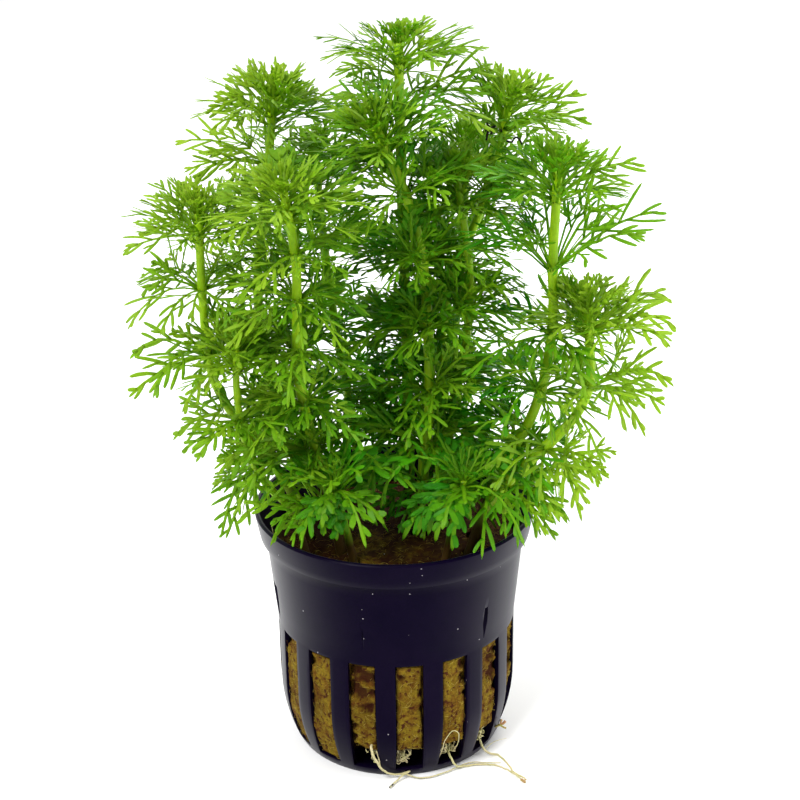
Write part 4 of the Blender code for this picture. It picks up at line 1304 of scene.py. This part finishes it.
def pot_mesh():
    """The pot's shell as one closed grid with its slots left open."""
    rows = pot_profile()
    bm = bmesh.new()
    rings = [[bm.verts.new((radius * math.cos(angle), radius * math.sin(angle), height))
              for angle, _ in pot_columns(radius)] for radius, height, _ in rows]
    marks = [mark for _, mark in pot_columns(WALL_RADIUS)]
    around = [(column, (column + 1) % len(marks)) for column in range(len(marks))]

    def in_slot(column):
        return marks[column] is not None and marks[column] < SLOT_COLUMNS

    for low_row, high_row, low_ring, high_ring in zip(rows, rows[1:], rings, rings[1:]):
        pierced = low_row[2] is not None and high_row[2] is not None
        for column, after in around:
            if not (pierced and in_slot(column)):
                bm.faces.new((low_ring[column], low_ring[after],
                              high_ring[after], high_ring[column]))
    under, floor_middle = bm.verts.new((0, 0, 0)), bm.verts.new((0, 0, FLOOR_THICK))
    for column, after in around:
        bm.faces.new((rings[0][after], rings[0][column], under))
        bm.faces.new((rings[-1][column], rings[-1][after], floor_middle))
    half = len(rows) // 2
    outer, inner = ({row[2]: ring for row, ring in zip(rows[part], rings[part])
                     if row[2] is not None} for part in (slice(half), slice(half, None)))
    last = len(SLOT_ROWS) - 1
    for column, after in around:
        if in_slot(column):
            for row, flip in ((0, False), (last, True)):
                quad = (outer[row][column], outer[row][after],
                        inner[row][after], inner[row][column])
                bm.faces.new(quad[::-1] if flip else quad)
        if marks[column] in (0, SLOT_COLUMNS):
            for row in range(last):
                quad = (outer[row][column], outer[row + 1][column],
                        inner[row + 1][column], inner[row][column])
                bm.faces.new(quad if marks[column] == 0 else quad[::-1])
    bmesh.ops.recalc_face_normals(bm, faces=bm.faces[:])
    print("pot grid:", len(bm.faces), "faces, open edges:",
          sum(1 for edge in bm.edges if not edge.is_manifold))
    return mesh_of(bm, "net_pot_body")


def notch_cutter():
    """Six upright wedges that groove the wall where stacked pots catch each other."""
    bm = bmesh.new()
    middle = (NOTCH_TOP + NOTCH_BOTTOM) / 2
    for turn_by, half in zip(NOTCH_TURNS, NOTCH_HALVES):
        place = (Matrix.Rotation(math.radians(turn_by), 4, "Z")
                 @ Matrix.Translation((0, -wall_radius(middle), middle)))
        bmesh.ops.create_cone(bm, cap_ends=True, segments=4, radius1=half / 2,
                              radius2=half, depth=NOTCH_TOP - NOTCH_BOTTOM, matrix=place)
    return mesh_of(bm, "notch_wedges")


def settle(thing):
    """Work the modifiers out and keep the result as the object's mesh."""
    graph = bpy.context.evaluated_depsgraph_get()
    mesh = bpy.data.meshes.new_from_object(thing.evaluated_get(graph))
    thing.modifiers.clear()
    thing.data = mesh


pot = new_object("net_pot_body", pot_mesh())
wedges = new_object("notch_wedges", notch_cutter())
groove = pot.modifiers.new("grooves", "BOOLEAN")
groove.object = wedges
groove.solver = "EXACT"
rounded = pot.modifiers.new("rounded_edges", "BEVEL")
rounded.width = 0.00016
rounded.segments = 2
rounded.limit_method = "ANGLE"
rounded.angle_limit = math.radians(50)
rounded.harden_normals = False
settle(pot)
bpy.data.objects.remove(wedges)
pot.data.shade_smooth()
pot.data.set_sharp_from_angle(angle=math.radians(40))
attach(pot, "root")
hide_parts("net_pot")
print("pot faces:", len(pot.data.polygons))

# %% [markdown]
# ## Violet-black plastic
# The pot is recycled plastic, nearly black with a violet cast. Seen straight on it is
# satin and stays dark; towards its sides, where the eye grazes it, a soft gloss grows and
# picks up the pale room. Handling leaves faint scratches and cloudy patches in the gloss,
# and dried water leaves pale specks.

# %% Mix the pot's plastic
def pot_material():
    material, tree, shader = principled("violet_black_satin")
    cloud, _ = mottle(tree, (0.0024, 0.0009, 0.0095), (0.0046, 0.0022, 0.0125), 70.0,
                      2600.0, 0.5)
    specks = add_node(tree, "Group", {"Scale": 450.0, "Size": 0.062, "Amount": 0.30},
                      node_tree=SPECKS).outputs["Mask"]
    stretch = add_node(tree, "Mapping", {
        "Vector": object_place(tree), "Scale": (260.0, 260.0, 2600.0),
        "Rotation": (0.5, 0.3, 0.0)}).outputs["Vector"]
    scratch = noise_value(tree, stretch, scale=1.0, detail=4.0, roughness=0.7)
    grazing = add_node(tree, "LayerWeight", {"Blend": 0.5}).outputs["Facing"]
    fill(tree, shader, {
        "Base Color": mix(tree, calc(tree, "MULTIPLY", specks, 0.75), cloud,
                          (0.42, 0.40, 0.42, 1)),
        "Roughness": ranged(tree, scratch, target=(0.26, 0.40)),
        "Coat Weight": ranged(tree, grazing, (0.18, 0.70), (0.0, 0.44),
                              interpolation_type="SMOOTHSTEP"),
        "Coat Roughness": 0.30, "Specular IOR Level": 0.025})
    bump(tree, shader, scratch, 0.12, 0.0001)
    return material


POT_PLASTIC = pot_material()
pot.data.materials.clear()
pot.data.materials.append(POT_PLASTIC)
print("pot plastic:", POT_PLASTIC.name)

# %% [markdown]
# ## Mineral wool
# The plug is a felt of fine glassy fibres, soaked and stained: olive-yellow and brown in
# patches, with red-brown stains and dark damp spots. Painted shade darkens it further in
# its hollows, along the edges of its slots, on its sides hidden in the pot and over its
# top under the leaves. Its solid gives the form. A voxel remesh makes an even skin on it,
# and layered noise pushes that skin in, so the plug stays inside its solid and clear of
# the pot. The pads are widened until they fill their slots, and near the foot of four
# slots on the left they bulge a little.

# %% Felt the wool plug
VOXEL = 0.00055
WOOL_SINK, WOOL_DIG, WOOL_LUMP, WOOL_FUZZ = 0.00002, 0.0008, 0.0004, 0.00020
WET_DIG, TOP_DIG = 0.0007, 0.6
PAD_DIG, PAD_STRETCH = 0.42, 1.12
BULGING, BULGE, BULGE_HEIGHT, BULGE_SPREAD = (11, 12, 13, 14), 0.0007, 0.0085, 0.004
SLOT_GAP = 0.00005
# Painted shade on the plug's sides hidden behind the pot's wall.
INNER_PAINTED_SHADE = 0.7
DAMP_AND_SHADOW_SPOTS = (
    # slot, distance across it, height and radius in millimetres of each dark spot, which is
    # damp stain and, along the slots' edges, painted shadow
    (15, -1.7, 24.8, 2.4), (15, -1.8, 21.0, 2.2), (15, 0.6, 23.4, 1.9), (15, 0.2, 19.6, 1.9),
    (15, 0.9, 16.6, 1.4), (15, -2.3, 12.0, 1.5), (15, 1.6, 23.4, 1.8), (15, 1.5, 20.0, 1.4),
    (2, 0.9, 23.0, 1.7), (2, 1.0, 19.0, 1.7), (15, -2.1, 9.0, 1.5), (15, -1.6, 6.6, 1.5),
    (1, 1.7, 25.0, 1.7), (1, 2.1, 21.5, 1.4), (1, 2.4, 18.0, 0.8), (2, 1.5, 24.0, 1.9),
    (2, 1.7, 20.0, 1.9), (2, 2.0, 16.0, 1.5), (3, 0.0, 22.0, 2.6), (3, 0.6, 17.0, 2.6),
    (0, 2.5, 20.0, 1.0), (0, 2.6, 16.5, 0.9), (13, -1.9, 25.0, 1.5), (14, -2.1, 24.0, 1.2),
    (0, -1.6, 23.5, 0.9),
)
TOP_DAMP_AND_SHADE_PATCHES = (
    # x, y, radius in millimetres and darkness of the patches in the top
    (-7.3, -8.4, 4.2, 0.15), (-3.6, -5.0, 3.0, 0.35), (-14.2, -5.0, 5.2, 1.0),
    (9.8, -6.5, 3.6, 0.90), (-11.5, -13.6, 3.0, 1.0), (2.6, -10.5, 3.2, 0.60),
    (-6.6, -16.0, 2.6, 0.05),
)
# How dark the top is outside the patches: damp and painted shade under the leaves.
TOP_DAMP_AND_SHADE = 0.88


def wool_skin():
    """The wool's solid under an even skin of small cells."""
    bm = bmesh.new()
    bm.from_mesh(frame["nodes"]["rock_wool"].data)
    bmesh.ops.remove_doubles(bm, verts=bm.verts[:], dist=1e-6)
    plug = new_object("wool_plug", mesh_of(bm, "wool_plug"))
    skin = plug.modifiers.new("skin", "REMESH")
    skin.mode = "VOXEL"
    skin.voxel_size = VOXEL
    settle(plug)
    return plug


def slot_place(place):
    """(slot number, distance across it) of a point in a slot, or None for one elsewhere."""
    reach = place.xy.length
    if place.z > SLOT_TOP or reach < inner_radius(max(place.z, FLOOR_THICK)) - 0.0006:
        return None
    turns = (math.atan2(place.x, -place.y) - SLOT_TURN) / SLOT_PITCH
    slot = round(turns)
    return slot % SLOT_COUNT, (turns - slot) * SLOT_PITCH * reach


def widened(place, across):
    """A pad's point moved sideways, so that the pad fills its slot."""
    reach = place.xy.length
    limit = SLOT_HALF - SLOT_GAP
    wide = clamp(across * PAD_STRETCH, -limit, limit)
    angle = math.atan2(place.x, -place.y) + (wide - across) / reach
    return Vector((reach * math.sin(angle), -reach * math.cos(angle), place.z))


def damp_and_shadow_at(slot, across, height, grain):
    """How far the listed spots dig in and darken a pad at a point, from 0 to 1: damp stains and
    painted shadow along the slots' edges.
    """
    damp_and_shadow = 0.0
    for spot_slot, spot_across, spot_height, radius in DAMP_AND_SHADOW_SPOTS:
        if spot_slot == slot:
            gap = math.hypot(across * 1000 - spot_across, height * 1000 - spot_height)
            damp_and_shadow = max(damp_and_shadow, min(1.0, 2.0 * (1.0 - gap / radius) + 1.1 * grain))
    return damp_and_shadow


def top_damp_and_shade(place, grain):
    """The darkness of the plug's top at a point, from 0 to 1: damp and painted shade under the
    leaves, with listed lighter and darker patches.
    """
    tone = TOP_DAMP_AND_SHADE
    for spot_x, spot_y, radius, darkness in TOP_DAMP_AND_SHADE_PATCHES:
        gap = math.hypot(place.x * 1000 - spot_x, place.y * 1000 - spot_y) / radius
        tone += (darkness - tone) * clamp(1.5 - gap)
    return clamp(tone + 0.7 * grain)


def felted(plug):
    """Push the skin in by hollows, lumps and fuzz, and keep each point's darkness: damp stains
    and painted shade.
    """
    mesh = plug.data
    skin = [(vert.co.copy(), vert.normal.copy()) for vert in mesh.vertices]
    darks, moved = [], []
    for place, normal in skin:
        hollow = max(0.0, noise.noise(place * 210.0) + 0.12)
        lump = 0.5 + 0.5 * noise.noise(place * 620.0 + Vector((3, 1, 7)))
        fuzz = 0.5 + 0.5 * noise.noise(place * 2300.0)
        grain = noise.noise(place * 900.0 + Vector((9, 4, 2)))
        in_slot = slot_place(place)
        deep = WOOL_DIG * hollow + WOOL_LUMP * lump
        if in_slot:
            slot, across = in_slot
            damp_and_shadow = damp_and_shadow_at(slot, across, place.z, grain)
            place = widened(place, across)
            deep = PAD_DIG * deep + WET_DIG * damp_and_shadow
            if slot in BULGING:
                deep -= BULGE * math.exp(-((place.z - BULGE_HEIGHT) / BULGE_SPREAD) ** 2)
            # Dark in the damp spots, and painted shade in the pad's hollows.
            dark = max(damp_and_shadow, 0.55 * hollow)
        elif place.z > WOOL_TOP - 0.001:
            # Damp and painted shade over the top.
            dark = top_damp_and_shade(place, grain)
            deep *= TOP_DIG
        else:
            # Painted shade on the sides hidden in the pot.
            dark = INNER_PAINTED_SHADE
        moved.extend(place - normal * (WOOL_SINK + deep + WOOL_FUZZ * fuzz * 0.7))
        darks.append(dark)
    mesh.vertices.foreach_set("co", np.array(moved, np.float32))
    keep_values(mesh, dark=darks)
    mesh.shade_smooth()
    mesh.update()


plug = wool_skin()
felted(plug)
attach(plug, "root")
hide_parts("rock_wool")
print("wool faces:", len(plug.data.polygons))


def wool_material(name, olive, brown):
    """Olive and brown patches, red-brown stains, and a dark red-brown for the damp stains and
    painted shade that the mesh stores.
    """
    material, tree, shader = principled(name)
    base, _ = mottle(tree, olive, brown, 560.0, 2600.0, 1.5)
    place = object_place(tree)
    stain = noise_value(tree, place, scale=1100.0, detail=5.0)
    stained = mix(tree, ranged(tree, stain, (0.56, 0.63)), base, (0.060, 0.016, 0.005, 1))
    damp_and_shade_mix = ranged(tree, stored(tree, "dark"), (0.05, 0.9), (0.0, 0.93))
    # The dark red-brown stands for damp stains and painted shade.
    fill(tree, shader, {"Base Color": mix(tree, damp_and_shade_mix, stained, (0.034, 0.007, 0.003, 1)),
                        "Roughness": 0.75, "Specular IOR Level": 0.06})
    fibre = noise_value(tree, place, scale=1700.0, detail=6.0, roughness=0.75, distortion=1.5)
    bump(tree, shader, fibre, 0.9, 0.0004)
    return material


plug.data.materials.clear()
plug.data.materials.append(wool_material("stained_and_shaded_mineral_wool", (0.230, 0.158, 0.011),
                                         (0.120, 0.050, 0.005)))

# %% [markdown]
# ## Loose wool fibres
# Fibres stand out of the felt wherever it was cut or torn. They are thinner than the
# skin's mesh can show, so each is its own bent three-sided thread. They are scattered
# over the parts of the plug that show: the top and the faces in the slots.

# %% Scatter the fibres
FIBRE_COUNT, FIBRE_RADIUS, FIBRE_RINGS, FIBRE_LIFT = 2400, 0.000036, 5, 0.00025


def tubes_mesh(name, points, faces, material):
    """A smooth mesh of round tubes in one material."""
    mesh = bpy.data.meshes.new(name)
    mesh.from_pydata(points, [], faces)
    mesh.shade_smooth()
    mesh.materials.append(material)
    return mesh


def shows(face):
    """True for a face of the plug on its top or in a slot."""
    middle = face.center
    in_slot = middle.xy.length > inner_radius(max(middle.z, FLOOR_THICK)) + 0.0001
    return middle.z > WOOL_TOP - 0.0015 or (in_slot and middle.z < SLOT_TOP)


def wool_fibres():
    """The points and faces of all fibres that stay behind the pot's outer face."""
    rng = random.Random(77)
    shown_at = [face for face in plug.data.polygons if shows(face)]
    points, faces = [], []
    for face in rng.sample(shown_at, min(FIBRE_COUNT, len(shown_at))):
        start = face.center.copy()
        normal = face.normal.copy()
        heading = Vector((rng.gauss(0, 1), rng.gauss(0, 1), rng.gauss(0, 1)))
        heading = square_to(normal, heading)
        length = rng.uniform(0.0006, 0.0019)
        line = []
        for step in range(FIBRE_RINGS):
            share = step / (FIBRE_RINGS - 1)
            lift = FIBRE_LIFT * math.sin(math.pi * share) + 0.00002
            bend = heading.cross(normal) * (0.25 * length * math.sin(2.4 * share))
            line.append(start + heading * length * share + normal * lift + bend)
        outer = max(math.hypot(point.x, point.y) - wall_radius(min(point.z, LEDGE))
                    for point in line)
        if outer < -0.0001 and min(point.z for point in line) > FLOOR_THICK:
            radii = [FIBRE_RADIUS] * (FIBRE_RINGS - 1) + [FIBRE_RADIUS * 0.5]
            round_tube(points, faces, line, radii, 3)
    return points, faces


PALE_FIBRE = wool_material("pale_wool_fibre", (0.46, 0.36, 0.08), (0.30, 0.19, 0.03))
fibres = new_object("wool_fibres", tubes_mesh("wool_fibres", *wool_fibres(), PALE_FIBRE))
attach(fibres, "root")
print("fibre faces:", len(fibres.data.polygons))

# %% [markdown]
# ## Roots
# Cream roots have grown through the wool into the hollows behind the front slots, and
# three of them reach out over the surface. A root is a tube that wanders a little and
# swells here and there; the bundles in the hollows are shorter ones of the same kind.

# %% Grow the roots
ROOT_SIDES, ROOT_STEP, ON_SURFACE = 7, 0.0005, 0.00003


def plain_living(name, first, second, patch, grain, strength, relief, settings):
    """A living or wet surface of two mingled colours."""
    material, tree, shader = principled(name)
    colour, height = mottle(tree, first, second, patch, grain, strength)
    fill(tree, shader, {"Base Color": colour, **settings})
    bump(tree, shader, height, *relief)
    return material


def wandering(route, rng, wander):
    """A smooth line through the route that strays a little, but not at its ends."""
    line = smooth_line([Vector(point) for point in route], ROOT_STEP)
    seed = Vector((rng.random(), rng.random(), rng.random())) * 50
    for index, point in enumerate(line):
        ends = min(index, len(line) - 1 - index) / 4
        point += noise.noise_vector(point * 900.0 + seed) * (wander * min(ends, 1.0))
    return line


def root_piece(name, strands, material, replaced=None):
    """One object of several root strands: each a route, a radius and its end share."""
    rng = random.Random(name)
    points, faces = [], []
    for route, radius, end_share in strands:
        line = wandering(route, rng, radius * 0.6)
        radii = []
        for index, point in enumerate(line):
            share = index / (len(line) - 1)
            swell = 1.0 + 0.14 * noise.noise(point * 1300.0)
            radii.append(radius * (1.0 - (1.0 - end_share) * share) * swell)
        for point, own in zip(line, radii):
            point.z = max(point.z, own + ON_SURFACE)
        round_tube(points, faces, line, radii, ROOT_SIDES)
    thing = new_object(name, tubes_mesh(name, points, faces, material))
    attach(thing, "root")
    if replaced:
        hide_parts(replaced)
    return thing


def strand(radius, end_share, *route):
    """A strand from its route in tenths of a millimetre."""
    return [metres(point) for point in route], radius, end_share


ROOT_CREAM = plain_living("cream_root", (0.62, 0.53, 0.30), (0.44, 0.42, 0.17), 420.0, 2500.0,
                          0.3, (0.4, 0.0002), {"Roughness": 0.48})
root_piece("root_front_fine", [
    strand(0.00027, 0.55,
           (-48, -205, 80), (-51, -227, 76), (-45, -229, 56), (-37, -226, 37), (-26, -223, 21),
           (-12, -218, 10), (6, -215, 8), (22, -214, 14), (8, -222, 10), (-4, -234, 5),
           (-13, -247, 4), (-16, -252, 4)),
    strand(0.00017, 0.5, (-44, -200, 70), (-40, -218, 60), (-36, -222, 42), (-34, -216, 24)),
], ROOT_CREAM, "root_front")
root_piece("root_right_fine", [
    strand(0.00022, 0.7,
           (94, -175, 46), (103, -196, 36), (112, -199, 18), (125, -186, 5), (163, -178, 4),
           (196, -184, 4), (220, -203, 4), (238, -227, 4), (245, -240, 4)),
    strand(0.00015, 0.6,
           (14, -216, 10), (27, -217, 5), (44, -222, 4), (73, -215, 4), (109, -194, 4),
           (141, -172, 4), (175, -173, 4), (204, -174, 4)),
], ROOT_CREAM, "root_right")
root_piece("root_side_fine", [
    strand(0.00025, 0.7,
           (150, -120, 45), (163, -134, 34), (172, -141, 14), (186, -144, 5), (200, -147, 4),
           (216, -175, 4), (228, -207, 4), (248, -228, 4)),
    strand(0.00008, 0.5, (176, -128, 8), (184, -117, 8), (198, -106, 10), (220, -94, 8)),
], ROOT_CREAM, "root_side")


def in_slot_point(slot, across, height, inwards):
    """A point behind the wall's outer face in a slot."""
    turn_by = SLOT_TURN + slot * SLOT_PITCH
    reach = wall_radius(height) - inwards
    return (math.sin(turn_by) * reach + math.cos(turn_by) * across,
            -math.cos(turn_by) * reach + math.sin(turn_by) * across, height)


TANGLES = (
    # slot, strands, least and most distance across it, least and most height
    (15, 4, -0.0002, 0.0024, 0.0028, 0.0066), (0, 13, -0.0023, 0.0003, 0.0026, 0.0062),
    (1, 12, -0.0022, 0.0014, 0.0036, 0.0066), (2, 6, -0.0014, 0.0016, 0.0030, 0.0058),
)
LOOP = (
    # distance across slot 1, height and depth behind the wall's face, in tenths of a
    # millimetre, along the root that loops out of that slot
    (-23, 24, 10), (-24, 62, 1), (-22, 86, -2), (-7, 104, -2), (8, 92, -2), (10, 62, 1),
    (8, 40, 9))


def tangled_roots():
    """Curled roots in the hollows at the foot of the front slots."""
    rng = random.Random(31)
    strands = []
    for slot, count, least, most, low_end, high_end in TANGLES:
        for _ in range(count):
            middle = rng.uniform(least, most)
            curl = rng.uniform(0.0004, 0.0011)
            start_angle = rng.uniform(0, 2 * math.pi)
            height = rng.uniform(low_end, high_end)
            hand = rng.choice((-1, 1))
            route = []
            for step in range(6):
                angle = start_angle + hand * step * rng.uniform(0.7, 1.15)
                across = clamp(middle + curl * math.cos(angle), least, most)
                level = clamp(height + 1.3 * curl * math.sin(angle), low_end, high_end)
                route.append(in_slot_point(slot, across, level, rng.uniform(0.0009, 0.0026)))
            strands.append((route, rng.uniform(0.00011, 0.00020), 0.7))
    return strands + [([in_slot_point(1, *metres(point)) for point in LOOP], 0.00010, 0.8)]


tangle = root_piece("roots_in_hollows", tangled_roots(), ROOT_CREAM)
print("tangled roots:", len(tangle.data.polygons), "faces")

# %% [markdown]
# ## Small things that make it this plant
# A swollen bud ends one root and a withered tip another, and a pinkish sprig pokes out
# beside the pot's right side. Near the top of the right back shoot two leaves have
# withered to black threads. Water still stands on the wool in small drops, coloured pale
# grey as painted glints, and one pale root hair lies inside the rim.

# %% Add the bud, the sprig, the withered leaves and the drops
LIVING_GRAIN = (700.0, 2600.0, 0.5, (0.4, 0.0002))
PINKISH = plain_living("pinkish_bud", (0.42, 0.20, 0.10), (0.36, 0.36, 0.08), *LIVING_GRAIN,
                       {"Roughness": 0.5, "Specular IOR Level": 0.3})
WITHERED = plain_living("withered_black", (0.010, 0.010, 0.008), (0.030, 0.024, 0.012),
                        *LIVING_GRAIN, {"Roughness": 0.6, "Specular IOR Level": 0.2})
# The drops are pale grey, near white: a painted glint on the water.
WATER_GLINT = plain_living("standing_water_painted_glint", (0.55, 0.55, 0.50), (0.80, 0.80, 0.78), 1500.0, 900.0,
                     0.25, (0.05, 0.00005), {"Roughness": 0.06})
root_piece("pink_sprig", [
    strand(0.00022, 1.3, (196, -104, 42), (205, -106, 48), (212, -106, 51), (217, -104, 56)),
    strand(0.00018, 1.2, (206, -106, 48), (212, -108, 44), (218, -109, 42)),
    strand(0.00018, 1.3, (206, -106, 48), (208, -106, 55), (209, -105, 60)),
], PINKISH)
root_piece("root_end_bud", [
    strand(0.0003, 0.9, (241, -233, 4), (244, -238, 5), (247, -243, 5)),
    strand(0.00016, 0.8, (244, -238, 5), (248, -238, 7), (251, -237, 8)),
], PINKISH)
root_piece("root_front_tip", [
    strand(0.00018, 0.7, (-10, -243, 4), (-13, -247, 4), (-17, -253, 4)),
], WITHERED)
withered = root_piece("withered_leaves", [
    strand(0.00022, 0.9,
           (216, 116, 1206), (200, 106, 1222), (189, 100, 1220), (180, 100, 1236),
           (181, 100, 1250), (177, 100, 1263)),
    strand(0.0003, 0.6, (189, 100, 1220), (181, 99, 1216), (170, 98, 1209)),
    strand(0.0003, 0.7, (188, 100, 1218), (185, 99, 1212), (182, 98, 1197)),
    strand(0.00028, 0.8, (187, 100, 1219), (191, 99, 1212), (191, 98, 1203)),
    strand(0.00022, 0.8,
           (222, 117, 1190), (230, 100, 1192), (236, 98, 1201), (243, 98, 1199),
           (249, 98, 1188)),
], WITHERED)
root_piece("pale_root_hair", [
    strand(0.00009, 0.8, (-222, -120, 452), (-232, -96, 474), (-237, -80, 488)),
], ROOT_CREAM)
DROPS = (
    # x, y and radius in millimetres
    (-13.2, -13.4, 0.26), (-12.6, -14.2, 0.16), (-9.0, -12.2, 0.12), (-16.0, -11.8, 0.18),
    (-0.6, -18.6, 0.16), (0.7, -18.9, 0.13), (9.2, -17.2, 0.15), (10.4, -16.4, 0.18),
    (-2.0, -12.6, 0.10),
)


def water_drops():
    """Small flattened drops on the wool, drawn as one mesh in a pale painted glint."""
    bm = bmesh.new()
    for drop in DROPS:
        x, y, radius = (value / 1000 for value in drop)
        place = Matrix.Translation((x, y, wool_height(x, y) + 0.3 * radius))
        bmesh.ops.create_icosphere(bm, subdivisions=2, radius=radius,
                                   matrix=place @ Matrix.Diagonal((1.3, 1.0, 0.7, 1.0)))
    mesh = mesh_of(bm, "water_drops")
    mesh.shade_smooth()
    mesh.materials.append(WATER_GLINT)
    return mesh


drops = new_object("water_drops", water_drops())
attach(drops, "root")
print("drops:", len(DROPS))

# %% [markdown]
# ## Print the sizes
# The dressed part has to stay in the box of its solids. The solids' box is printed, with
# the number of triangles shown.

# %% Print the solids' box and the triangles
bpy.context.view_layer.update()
print("cad   ", [round(x, 4) for x in (*cad_low, *cad_high)])
shown = [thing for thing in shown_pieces() if thing.type == "MESH"]
print("triangles:", sum(sum(len(face.vertices) - 2 for face in thing.data.polygons)
                        for thing in shown))
